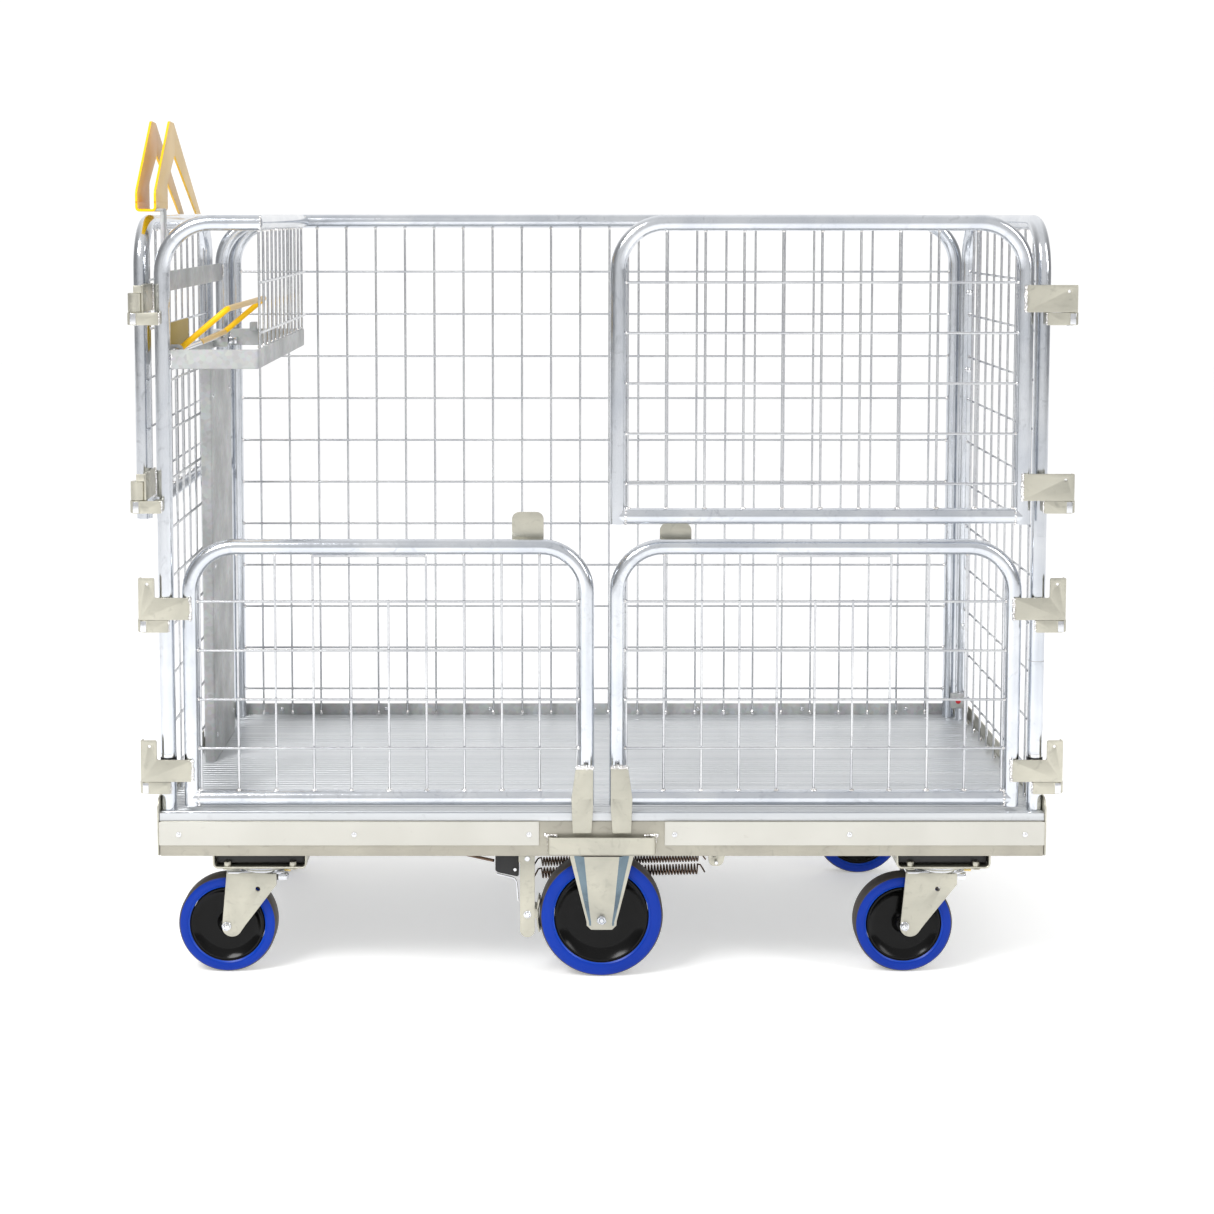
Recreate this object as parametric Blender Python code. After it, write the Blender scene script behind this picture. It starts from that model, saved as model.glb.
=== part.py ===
"""Wire mesh roll cage trolley with four half doors, six wheels and a dead-man brake.

Metres, +Z up, +X to the right and +Y to the back. The origin is on the ground under
the middle of the whole trolley, with the upper left door folded back. The pieces are
laid out from the middle of the deck, which is DECK_AHEAD in front of the origin.
"""

import math

import bmesh
import bpy
from mathutils import Matrix, Vector

# ---- driving dimensions ----------------------------------------------------
GAP = 0.0003                 # clearance between touching pieces

POST_X = 0.699               # centre of the end posts
POST_Y = 0.320               # the front posts stand at minus this
REAR_POST_Y = 0.2965         # rear posts of the end panels
BACK_Y = 0.3225              # centre of the back panel's tubes
SIDE_MID = (REAR_POST_Y - POST_Y) / 2
SIDE_HALF = (REAR_POST_Y + POST_Y) / 2
CAGE_TOP = 1.222             # centre of the top rails
TUBE = 0.0125                # radius of the cage tubes
CORNER = 0.080               # bend radius of the tubes, on the centre line
WIRE = 0.0040                # thickness of a mesh wire

DECK_TOP = 0.276
DECK_THICK = 0.013
FRAME_LOW = 0.205            # underside of the base frame
BASE_X = 0.7115              # half length of the base
BASE_Y = 0.345               # half width of the base
BEAM = 0.032                 # width of a base beam
SHEET = 0.003                # thickness of covers, skirts and plates
SKIRT_TOP = 0.300

ROW_TOP = 1.127              # highest mesh row of the cage walls
ROW_PITCH = 0.0797
BACK_PITCH = 0.0551
SIDE_PITCH = 0.0617

DOOR_SET = 0.004             # how far a closed door stands behind its hinge axis
LOWER_AXIS = (0.731, -POST_Y - DOOR_SET)
UPPER_AXIS = (0.735, -0.3495)    # the closed upper doors pass in front of the posts
DOOR_GAP = 0.012             # from the middle plane to a door's inner edge
UPPER_OUTER = 0.679          # outer edge of the upper doors
LOWER_OUTER = 0.674          # outer edge of the lower doors
UPPER_DOOR_Z = (0.758, 1.222)
LOWER_DOOR_Z = (0.2955, 0.7045)
DOOR_ROW_PITCH = 0.0798
DOOR_COLUMNS = 11
DOOR_MARGIN = 0.0150         # from a stile's centre to its first wire
DOOR_CORNER = 0.074          # bend radius of the door tubes
DOOR_WINDOW = (0.45, 0.64)   # share of a lower door's width that the hand hold takes
UPPER_LEAVES = (0.784, 1.082)
LOWER_LEAVES = (0.325, 0.5885)
TAB_CLEAR = 0.001            # room between a catch tab and the folded upper door
FOOT_END = 0.2435            # the lower doors' feet, just above the keeper strap
KNUCKLE = 0.0135
PIN = 0.0035
PAD_BACK = 0.004             # how far a hinge pad reaches back from the axis

SWIVEL_X = 0.552
CASTOR_Y = (-0.286, 0.238)   # front and rear castors
TRAIL = 0.058
CASTOR_R = 0.080
CASTOR_WIDTH = 0.044
CENTRE_R = 0.100
CENTRE_WIDTH = 0.048
CENTRE_Y = 0.306
WHEEL_SIDES = 20

BAY_X = -0.550               # inner wall of the handle bay
BAY_LOW = 0.990              # underside of the strip round the bay
STRIP_HIGH = 0.031
BAR_Z = 1.128                # middle of the flat bar across the bay
HANDLE_Y = -POST_Y + 0.040   # near end of both handles
HANDLE_LONG = 0.450
HANDLE_SHEET = 0.004
FOOT_LONG = 0.105            # the upper handle's broad near leg
LEVER_X = -POST_X + 0.016    # axis of the brake lever
LEVER_Z = 1.016
LEVER_BAR = 0.010            # thickness of the lever's bars
LEVER_HIGH = 0.110
LEVER_LEAN = math.radians(50)

DECK_AHEAD = 0.005           # the folded door reaches this much further back than the rest

COLLECTION = "roll_cage_container"


# ---- scene and materials ---------------------------------------------------
def clear_scene():
    for old in list(bpy.data.objects):
        bpy.data.objects.remove(old)


def material(name, colour, roughness, metallic):
    made = bpy.data.materials.new(name)
    made.use_nodes = True
    shader = made.node_tree.nodes["Principled BSDF"]
    shader.inputs["Base Color"].default_value = (*colour, 1.0)
    shader.inputs["Roughness"].default_value = roughness
    shader.inputs["Metallic"].default_value = metallic
    return made


clear_scene()
parts = bpy.data.collections.new(COLLECTION)
bpy.context.scene.collection.children.link(parts)

ZINC = ((0.62, 0.64, 0.66), 0.30, 0.90)
PLATE = ((0.60, 0.59, 0.52), 0.42, 0.70)
CREAM = ((0.66, 0.64, 0.57), 0.50, 0.00)
ALUMINIUM = ((0.58, 0.60, 0.63), 0.38, 0.60)
BLUE = ((0.010, 0.055, 0.45), 0.42, 0.00)
BLACK = ((0.012, 0.012, 0.013), 0.45, 0.00)
YELLOW = ((0.95, 0.66, 0.02), 0.45, 0.00)


trolley = bpy.data.objects.new("trolley", None)
trolley.location = (0, -DECK_AHEAD, 0)
parts.objects.link(trolley)


def add_node(name, mesh, finish, location=(0, 0, 0), turn=0.0, parent=trolley):
    """Link one finished solid as a named node with its own material."""
    mesh.name = name
    mesh.materials.clear()
    mesh.materials.append(material(name + "_finish", *finish))
    node = bpy.data.objects.new(name, mesh)
    parts.objects.link(node)
    node.parent = parent
    node.location = location
    node.rotation_euler = (0.0, 0.0, turn)
    return node


def add_axis(name, location):
    """An empty on a joint's axis, for the pieces that turn with it."""
    empty = bpy.data.objects.new(name, None)
    empty.location = location
    empty.parent = trolley
    parts.objects.link(empty)
    return empty


# ---- solids ----------------------------------------------------------------
def to_mesh(bm, name="solid"):
    mesh = bpy.data.meshes.new(name)
    bm.to_mesh(mesh)
    bm.free()
    return mesh


def add_box(bm, x, y, z):
    """Add a box to bm between the limits given as pairs."""
    size = Matrix.Diagonal((x[1] - x[0], y[1] - y[0], z[1] - z[0], 1.0))
    middle = Vector(((x[0] + x[1]) / 2, (y[0] + y[1]) / 2, (z[0] + z[1]) / 2))
    bmesh.ops.create_cube(bm, size=1.0, matrix=Matrix.Translation(middle) @ size)


def box(x, y, z):
    bm = bmesh.new()
    add_box(bm, x, y, z)
    return to_mesh(bm)


def boxes(limits):
    bm = bmesh.new()
    for x, y, z in limits:
        add_box(bm, x, y, z)
    return to_mesh(bm)


def cylinder(centre, radius, low, high, axis="Z", sides=8):
    """A solid cylinder along an axis, between low and high on that axis."""
    bm = bmesh.new()
    bmesh.ops.create_cone(
        bm, cap_ends=True, segments=sides, radius1=radius, radius2=radius, depth=high - low
    )
    bmesh.ops.rotate(bm, verts=bm.verts, matrix=Matrix.Rotation(math.pi / sides, 3, "Z"))
    middle = (low + high) / 2
    if axis == "Y":
        bmesh.ops.rotate(bm, verts=bm.verts, matrix=Matrix.Rotation(math.pi / 2, 3, "X"))
        place = Vector((centre[0], middle, centre[1]))
    elif axis == "X":
        bmesh.ops.rotate(bm, verts=bm.verts, matrix=Matrix.Rotation(math.pi / 2, 3, "Y"))
        place = Vector((middle, centre[0], centre[1]))
    else:
        place = Vector((centre[0], centre[1], middle))
    bmesh.ops.translate(bm, verts=bm.verts, vec=place)
    return to_mesh(bm)


def curve_mesh(curve, weld=1e-5):
    """Turn a curve datablock into a closed mesh."""
    carrier = bpy.data.objects.new("carrier", curve)
    bpy.context.scene.collection.objects.link(carrier)
    evaluated = carrier.evaluated_get(bpy.context.evaluated_depsgraph_get())
    mesh = bpy.data.meshes.new_from_object(evaluated)
    bpy.data.objects.remove(carrier)
    bm = bmesh.new()
    bm.from_mesh(mesh)
    bmesh.ops.remove_doubles(bm, verts=bm.verts, dist=weld)
    bmesh.ops.recalc_face_normals(bm, faces=bm.faces)
    bm.to_mesh(mesh)
    bm.free()
    return mesh


def bent(corners, radius, steps=4):
    """Points of a path through corners, each inner corner rounded to an arc."""
    corners = [Vector(corner) for corner in corners]
    path = [corners[0]]
    for before, corner, after in zip(corners, corners[1:], corners[2:]):
        back = (before - corner).normalized()
        onward = (after - corner).normalized()
        half = back.angle(onward) / 2
        reach = radius / math.tan(half)
        centre = corner + (back + onward).normalized() * (radius / math.sin(half))
        start = corner + back * reach - centre
        axis = start.cross(corner + onward * reach - centre)
        for step in range(steps + 1):
            angle = (math.pi - 2 * half) * step / steps
            path.append(centre + Matrix.Rotation(angle, 3, axis) @ start)
    path.append(corners[-1])
    return path


def tube(path, radius, resolution=2):
    """A solid round bar along a path, with flats square to the path's plane."""
    curve = bpy.data.curves.new("tube", "CURVE")
    curve.dimensions = "3D"
    curve.bevel_depth = radius
    curve.bevel_resolution = resolution
    curve.use_fill_caps = True
    spline = curve.splines.new("POLY")
    spline.points.add(len(path) - 1)
    for place, point in zip(path, spline.points):
        point.co = (*place, 1.0)
        point.tilt = math.pi / (4 + 2 * resolution)
    return curve_mesh(curve)


def plate(outline, thickness, plane="XZ", offset=0.0, holes=()):
    """A flat plate cut to an outline, offset along its normal, with optional holes."""
    curve = bpy.data.curves.new("plate", "CURVE")
    curve.dimensions = "2D"
    curve.fill_mode = "BOTH"
    curve.extrude = thickness / 2
    for ring in (outline, *holes):
        spline = curve.splines.new("POLY")
        spline.points.add(len(ring) - 1)
        for (u, v), point in zip(ring, spline.points):
            point.co = (u, v, 0.0, 1.0)
        spline.use_cyclic_u = True
    mesh = curve_mesh(curve)
    if plane == "XZ":
        mesh.transform(Matrix.Translation((0, offset, 0)) @ Matrix.Rotation(math.pi / 2, 4, "X"))
    elif plane == "YZ":
        turn = Matrix.Rotation(math.pi / 2, 4, "Z") @ Matrix.Rotation(math.pi / 2, 4, "X")
        mesh.transform(Matrix.Translation((offset, 0, 0)) @ turn)
    else:
        mesh.transform(Matrix.Translation((0, 0, offset)))
    return mesh


def arc(centre, radius, start, end, steps):
    """Points on an arc, angles in degrees."""
    points = []
    for step in range(steps + 1):
        angle = math.radians(start + (end - start) * step / steps)
        points.append((centre[0] + radius * math.cos(angle), centre[1] + radius * math.sin(angle)))
    return points


def combine(first, others, operation="UNION"):
    """Join or cut the first mesh with each of the others in turn."""
    base = bpy.data.objects.new("base", first)
    bpy.context.scene.collection.objects.link(base)
    tools = []
    for other in others:
        tool = bpy.data.objects.new("tool", other)
        bpy.context.scene.collection.objects.link(tool)
        tools.append(tool)
        change = base.modifiers.new("combine", "BOOLEAN")
        change.operation = operation
        change.object = tool
    evaluated = base.evaluated_get(bpy.context.evaluated_depsgraph_get())
    mesh = bpy.data.meshes.new_from_object(evaluated)
    for used in (base, *tools):
        bpy.data.objects.remove(used)
    return mesh


def turned(profile, sides, axis="Y"):
    """A ring or disc turned from a closed profile of (radius, height) pairs."""
    bm = bmesh.new()
    corners = [bm.verts.new((radius, 0.0, height)) for radius, height in profile]
    edges = [bm.edges.new((a, b)) for a, b in zip(corners, corners[1:] + corners[:1])]
    bmesh.ops.spin(
        bm, geom=corners + edges, cent=(0, 0, 0), axis=(0, 0, 1),
        angle=2 * math.pi, steps=sides, use_merge=True,
    )
    bmesh.ops.remove_doubles(bm, verts=bm.verts, dist=1e-6)
    bmesh.ops.recalc_face_normals(bm, faces=bm.faces)
    if axis == "Y":
        bmesh.ops.rotate(bm, verts=bm.verts, matrix=Matrix.Rotation(math.pi / 2, 3, "X"))
    return to_mesh(bm)


def wires(columns, rows, low_of, high_of, left, right):
    """Upright wires behind and level wires in front, as two meshes that touch."""
    uprights = [((u - WIRE / 2, u + WIRE / 2), (0.0, WIRE), (low_of(u), high_of(u))) for u in columns]
    levels = [((left, right), (-WIRE, 0.0), (z - WIRE / 2, z + WIRE / 2)) for z in rows]
    return boxes(uprights), boxes(levels)


def portal(half, low, top):
    """An upright bent tube, open at the foot."""
    corners = [(-half, 0, low), (-half, 0, top), (half, 0, top), (half, 0, low)]
    return tube(bent(corners, CORNER), TUBE)


# ---- base ------------------------------------------------------------------
def build_base():
    under_deck = DECK_TOP - DECK_THICK - GAP
    heights = (FRAME_LOW, under_deck)
    front_rail = box((-BASE_X, BASE_X), (-BASE_Y, -BASE_Y + BEAM), heights)
    back_rail = box((-BASE_X, BASE_X), (BASE_Y - BEAM, BASE_Y), heights)
    end = BASE_X - BEAM / 2
    inner = SWIVEL_X - 0.12
    beams = [
        box((x - BEAM / 2, x + BEAM / 2), (-BASE_Y + BEAM / 2, BASE_Y - BEAM / 2), heights)
        for x in (-end, -inner, 0.0, inner, end)
    ]
    add_node("base_frame", combine(front_rail, [back_rail, *beams]), PLATE)

    planks = 4
    deck_front = -BASE_Y + 0.003
    deck_back = BASE_Y - 0.009
    width = (deck_back - deck_front) / planks
    for plank in range(planks):
        front = deck_front + plank * width
        outline = [(front, DECK_TOP - DECK_THICK), (front + width - GAP, DECK_TOP - DECK_THICK)]
        outline.append((front + width - GAP, DECK_TOP))
        ribs = 4
        for rib in reversed(range(ribs)):
            groove = front + (rib + 0.5) * width / ribs
            outline += [(groove + 0.003, DECK_TOP), (groove + 0.002, DECK_TOP - 0.0015)]
            outline += [(groove - 0.002, DECK_TOP - 0.0015), (groove - 0.003, DECK_TOP)]
        outline.append((front, DECK_TOP))
        mesh = plate(outline, 2 * (BASE_X - GAP), plane="YZ")
        add_node(f"deck_plank_{plank + 1}", mesh, ALUMINIUM)

    cover_low = 0.224
    for side, sign in (("left", -1), ("right", 1)):
        x = sorted((sign * 0.101, sign * BASE_X))
        cover = box(x, (-BASE_Y - GAP - SHEET, -BASE_Y - GAP), (cover_low, DECK_TOP - DECK_THICK - GAP))
        add_node(f"front_cover_{side}", cover, CREAM)

        skirt_radius = 0.020
        half = BASE_Y
        skirt = [(half, FRAME_LOW)]
        skirt += arc((half - skirt_radius, SKIRT_TOP - skirt_radius), skirt_radius, 0, 90, 4)
        skirt += arc((-half + skirt_radius, SKIRT_TOP - skirt_radius), skirt_radius, 90, 180, 4)
        skirt.append((-half, FRAME_LOW))
        mesh = plate(skirt, SHEET, plane="YZ", offset=sign * (BASE_X + GAP + SHEET / 2))
        add_node(f"end_skirt_{side}", mesh, PLATE)

    sill_x = (-BASE_X + 0.02, BASE_X - 0.02)
    sill_y = (BASE_Y - 0.0085, BASE_Y - 0.0055)
    add_node("back_sill", box(sill_x, sill_y, (DECK_TOP - DECK_THICK, SKIRT_TOP - SHEET)), PLATE)

    strap_x = 0.087
    strap_z = (0.212, 0.240)
    reach = 0.012
    front = -BASE_Y - GAP
    strap = [
        ((-strap_x, strap_x), (front - reach - SHEET, front - reach), strap_z),
        ((-strap_x, -strap_x + 0.012), (front - reach - SHEET, front), strap_z),
        ((strap_x - 0.012, strap_x), (front - reach - SHEET, front), strap_z),
    ]
    add_node("keeper_strap", combine(box(*strap[0]), [box(*one) for one in strap[1:]]), PLATE)


# ---- cage walls ------------------------------------------------------------
def wall_rows():
    return [ROW_TOP - ROW_PITCH * row for row in range(11)]


def build_back_panel():
    half = 0.679
    foot = DECK_TOP + GAP
    columns = [BACK_PITCH * (step + 0.5) for step in range(-12, 12)]
    uprights, levels = wires(columns, wall_rows(), lambda u: foot + 0.003, lambda u: CAGE_TOP, -half, half)
    mesh = combine(portal(half, foot, CAGE_TOP), [uprights, levels])
    add_node("back_panel", mesh, ZINC, location=(0, BACK_Y, 0))


def build_right_end():
    foot = DECK_TOP + GAP
    columns = [SIDE_PITCH * step for step in range(-4, 5)]
    uprights, levels = wires(
        columns, wall_rows(), lambda u: foot + 0.003, lambda u: CAGE_TOP, -SIDE_HALF, SIDE_HALF
    )
    mesh = combine(portal(SIDE_HALF, foot, CAGE_TOP), [uprights, levels])
    add_node("right_end_panel", mesh, ZINC, location=(POST_X, SIDE_MID, 0), turn=math.pi / 2)


def bay_post(y):
    """A left end post that curves inward at the top to carry the bay wall's rail."""
    corners = [(-POST_X, y, DECK_TOP + GAP), (-POST_X, y, CAGE_TOP)]
    corners.append((BAY_X - TUBE - GAP, y, CAGE_TOP))
    return tube(bent(corners, CORNER), TUBE)


def build_left_end():
    foot = DECK_TOP + GAP
    columns = [SIDE_PITCH * step for step in range(-4, 5)]
    rows = [z for z in wall_rows() if z < BAY_LOW + STRIP_HIGH]
    top = rows[0] + WIRE / 2
    uprights, levels = wires(columns, rows, lambda u: foot + 0.003, lambda u: top, -SIDE_HALF, SIDE_HALF)
    for mesh in (uprights, levels):
        mesh.transform(Matrix.Translation((-POST_X, SIDE_MID, 0)) @ Matrix.Rotation(math.pi / 2, 4, "Z"))
    flat_x, flat_y = (-POST_X - 0.002, -POST_X + 0.002), (-POST_Y, REAR_POST_Y)
    bar = box(flat_x, flat_y, (BAR_Z - 0.016, BAR_Z + 0.016))
    bearer = box(flat_x, flat_y, (BAY_LOW + 0.002, BAY_LOW + 0.024))
    shield = box(flat_x, (HANDLE_Y, HANDLE_Y + 0.190), (BAY_LOW + 0.020, 1.060))
    lugs = []
    for y in (HANDLE_Y - 0.012, HANDLE_Y + HANDLE_LONG + 0.004):
        lug_x = (-POST_X + 0.001, LEVER_X + 0.011)
        lug = box(lug_x, (y, y + 0.008), (BAY_LOW + 0.004, LEVER_Z + 0.011))
        bore = cylinder((LEVER_X, LEVER_Z), 0.0064, y - 0.002, y + 0.010, axis="Y")
        lugs.append(combine(lug, [bore], "DIFFERENCE"))
    mesh = combine(bay_post(-POST_Y), [bay_post(REAR_POST_Y), bar, bearer, shield, *lugs, uprights, levels])
    add_node("left_end_panel", mesh, ZINC)


def build_bay_wall():
    """Inner wall of the handle bay, a top rail with hanging wires, and the strip round its foot."""
    front, back = -POST_Y - TUBE, BACK_Y - TUBE - 0.002
    rail = tube([(BAY_X, front, CAGE_TOP), (BAY_X, back, CAGE_TOP)], TUBE)
    pitch = 0.0522
    columns = [pitch * (step + 0.5) - 0.010 for step in range(-6, 6)]
    rows = [ROW_TOP, ROW_TOP - ROW_PITCH]
    strip = (BAY_LOW, BAY_LOW + STRIP_HIGH)
    left, right = columns[0] - 0.008, columns[-1] + 0.008
    uprights, levels = wires(columns, rows, lambda u: strip[1] + GAP, lambda u: CAGE_TOP, left, right)
    for mesh in (uprights, levels):
        mesh.transform(Matrix.Translation((BAY_X + WIRE, 0, 0)) @ Matrix.Rotation(math.pi / 2, 4, "Z"))
    add_node("handle_bay_wall", combine(rail, [uprights, levels]), ZINC)

    thick = 0.004
    outer = -POST_X + TUBE + GAP
    strips = [
        ((BAY_X, BAY_X + thick), (-POST_Y - thick, REAR_POST_Y + thick), strip),
        ((outer, BAY_X + thick), (-POST_Y - thick, -POST_Y), strip),
        ((outer, BAY_X + thick), (REAR_POST_Y, REAR_POST_Y + thick), strip),
    ]
    add_node("bay_strip", combine(box(*strips[0]), [box(*one) for one in strips[1:]]), PLATE)


def build_linkage_cover():
    """A channel of sheet on the inside of the left end, over the brake linkage."""
    front, back = -0.024, 0.205
    outer, inner = -POST_X + 0.010, -POST_X + 0.028
    low, high = DECK_TOP + GAP, 0.968
    sides = [
        ((inner - 0.002, inner), (front, back), (low, high)),
        ((outer, inner), (front, front + 0.002), (low, high)),
        ((outer, inner), (back - 0.002, back), (low, high)),
    ]
    add_node("linkage_cover", combine(box(*sides[0]), [box(*one) for one in sides[1:]]), PLATE)


# ---- doors -----------------------------------------------------------------
def hinge_leaf(stile, low, body, finger):
    """The door's half of a hinge: a plate, a pad on the stile and a bored barrel.

    body is the plate's height. finger is the height at its outer end, where it may rise higher.
    Places are measured from the hinge axis, with the door towards -X.
    """
    front = -KNUCKLE
    back = front + SHEET
    body_top = low + body
    outline = [(-stile - 0.004, low), (0.010, low), (0.010, low + finger)]
    if finger > body:
        outline += [(-0.016, low + finger), (-0.016, body_top)]
    outline.append((-stile - 0.004, body_top))
    leaf = plate(outline, SHEET, offset=(front + back) / 2)
    pad = box((-stile - 0.004, -stile + 0.004), (front + 0.001, PAD_BACK), (low + 0.002, body_top - 0.002))
    barrel = cylinder((0, 0), KNUCKLE - 0.001, low, low + 0.030)
    bore = cylinder((0, 0), PIN + 0.0012, low - 0.002, low + 0.032)
    return combine(combine(leaf, [pad, barrel]), [bore], "DIFFERENCE")


def hinge_bracket(name, sign, top, axis):
    """The post's half of a hinge: a strip, a web back to the post, the knuckle and the pin."""
    low = top - 0.020
    strip = box((-0.037, 0.0), (-KNUCKLE, -KNUCKLE + SHEET), (low, top))
    post_face = -POST_Y - TUBE - axis[1] - GAP
    web = box((-0.037, -0.024), (-KNUCKLE + 0.001, post_face), (low + 0.001, top - 0.001))
    knuckle = cylinder((0, 0), KNUCKLE, low, top)
    pin = cylinder((0, 0), PIN, low + 0.002, top + 0.028)
    mesh = combine(strip, [web, knuckle, pin])
    if sign < 0:
        mirror(mesh)
    add_node(name, mesh, PLATE, location=(sign * axis[0], axis[1], 0))


def mirror(mesh):
    mesh.transform(Matrix.Scale(-1, 4, (1, 0, 0)))
    mesh.flip_normals()


def build_door(name, sign, axis, heights, outer, mesh_rows, leaves, turn=0.0, window=None, tab_top=None):
    """A bent-tube door with a mesh, built for the right side and mirrored for the left.

    A lower door has a hand hold cut in its mesh, a catch tab and a foot.
    """
    low, high = heights
    first_row, row_count = mesh_rows
    axis_x, axis_y = axis
    far = -axis_x + DOOR_GAP + TUBE
    near = -(axis_x - outer) - TUBE
    door_y = DOOR_SET
    corners = [(near, door_y, low - TUBE), (near, door_y, high)]
    corners += [(far, door_y, high), (far, door_y, low - TUBE)]
    frame = tube(bent(corners, DOOR_CORNER), TUBE)
    rail = tube([(near, door_y, low), (far, door_y, low)], TUBE * 0.998)

    pitch = (near - far - 2 * DOOR_MARGIN) / (DOOR_COLUMNS - 1)
    places = [far + DOOR_MARGIN + pitch * step for step in range(DOOR_COLUMNS)]
    rows = [first_row - DOOR_ROW_PITCH * row for row in range(row_count)]
    cut = [u for u in places if window and window[0] < (u - far) / (near - far) < window[1]]
    uprights, levels = wires(
        places, rows, lambda u: low, lambda u: rows[0] + WIRE / 2 if u in cut else high, far, near
    )
    for mesh in (uprights, levels):
        mesh.transform(Matrix.Translation((0, door_y, 0)))
    pieces = [rail, uprights, levels]
    if cut:
        lintel_x = (cut[0] - pitch, cut[-1] + pitch)
        pieces.append(box(lintel_x, (door_y - 0.003, door_y + 0.003), (high - 0.017, high - 0.011)))
    leaf_lows, leaf_size = leaves
    for leaf_low in leaf_lows:
        pieces.append(hinge_leaf(-near, leaf_low, *leaf_size))
    if tab_top:
        tab_back = door_y + TUBE + TAB_CLEAR + UPPER_AXIS[0] - axis_x
        pieces.append(catch_tab(-axis_x + 0.119, high, tab_top, tab_back))
        pieces += foot_plate(far, low, door_y)
    mesh = combine(frame, pieces)
    if sign < 0:
        mirror(mesh)
    hinge = add_axis(name + "_axis", (sign * axis_x, axis_y, 0))
    add_node(name, mesh, ZINC, turn=turn, parent=hinge)


def catch_tab(u, rail_z, top, back):
    """A plate bent over the top rail, which the door above closes against."""
    half = 0.0255
    radius = min(0.012, top - rail_z - TUBE - 0.004)
    outline = [(u - half, rail_z), (u + half, rail_z)]
    outline += arc((u + half - radius, top - radius), radius, 0, 90, 3)
    outline += arc((u - half + radius, top - radius), radius, 90, 180, 3)
    tab = plate(outline, SHEET, offset=back + SHEET / 2)
    seat_x = (u - half + 0.002, u + half - 0.002)
    return combine(tab, [box(seat_x, (back - 0.010, back + 0.001), (rail_z, rail_z + 0.008))])


def foot_plate(far, low, door_y):
    """A tapered plate on the closing stile that ends just above the keeper strap."""
    front = -BASE_Y - 0.0050 - LOWER_AXIS[1]
    top = 0.351
    outer = far - TUBE + 0.001
    outline = [(outer + 0.004, FOOT_END), (outer + 0.034, FOOT_END), (outer + 0.036, low + 0.005)]
    outline += [(outer + 0.029, top), (outer + 0.001, top), (outer + 0.001, low - 0.01)]
    face = plate(outline, SHEET, offset=front + SHEET / 2)
    web = box((outer + 0.003, outer + 0.024), (front + 0.001, door_y - 0.006), (low - 0.010, top - 0.001))
    return [face, web]


def build_doors():
    upper_rows = (UPPER_DOOR_Z[1] - 0.0935, 5)
    lower_rows = (LOWER_DOOR_Z[1] - 0.0885, 4)
    upper = (UPPER_AXIS, UPPER_DOOR_Z, UPPER_OUTER, upper_rows, (UPPER_LEAVES, (0.043, 0.043)))
    lower = (LOWER_AXIS, LOWER_DOOR_Z, LOWER_OUTER, lower_rows, (LOWER_LEAVES, (0.036, 0.068)))
    build_door("upper_right_door", 1, *upper)
    build_door("upper_left_door", -1, *upper, turn=math.pi / 2)
    build_door("lower_right_door", 1, *lower, window=DOOR_WINDOW, tab_top=0.740)
    build_door("lower_left_door", -1, *lower, window=DOOR_WINDOW, tab_top=0.758)
    for side, sign in (("right", 1), ("left", -1)):
        for level, top in zip(("bottom", "lower"), LOWER_LEAVES):
            hinge_bracket(f"hinge_bracket_{side}_{level}", sign, top - GAP, LOWER_AXIS)
        for level, top in zip(("middle", "top"), UPPER_LEAVES):
            hinge_bracket(f"hinge_bracket_{side}_{level}", sign, top - GAP, UPPER_AXIS)


# ---- wheels ----------------------------------------------------------------
def build_wheel(name, radius, width, centre):
    """A tyre on a hub, both turned about the axle."""
    half = width / 2
    seat = radius * 0.76
    edge = 0.005
    tyre = [(seat, half - 0.002), (radius - edge, half - 0.002), (radius, half - 0.008)]
    tyre += [(radius, -half + 0.008), (radius - edge, -half + 0.002), (seat, -half + 0.002)]
    add_wheel_piece(name + "_tyre", tyre, BLUE, centre)
    bore = 0.0075
    rim = seat - GAP * 3
    hub = [(bore, half), (rim, half - 0.006), (rim, -half + 0.006), (bore, -half)]
    add_wheel_piece(name + "_hub", hub, BLACK, centre)


def add_wheel_piece(name, profile, finish, centre):
    mesh = turned(profile, WHEEL_SIDES)
    add_node(name, mesh, finish, location=centre)


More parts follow.
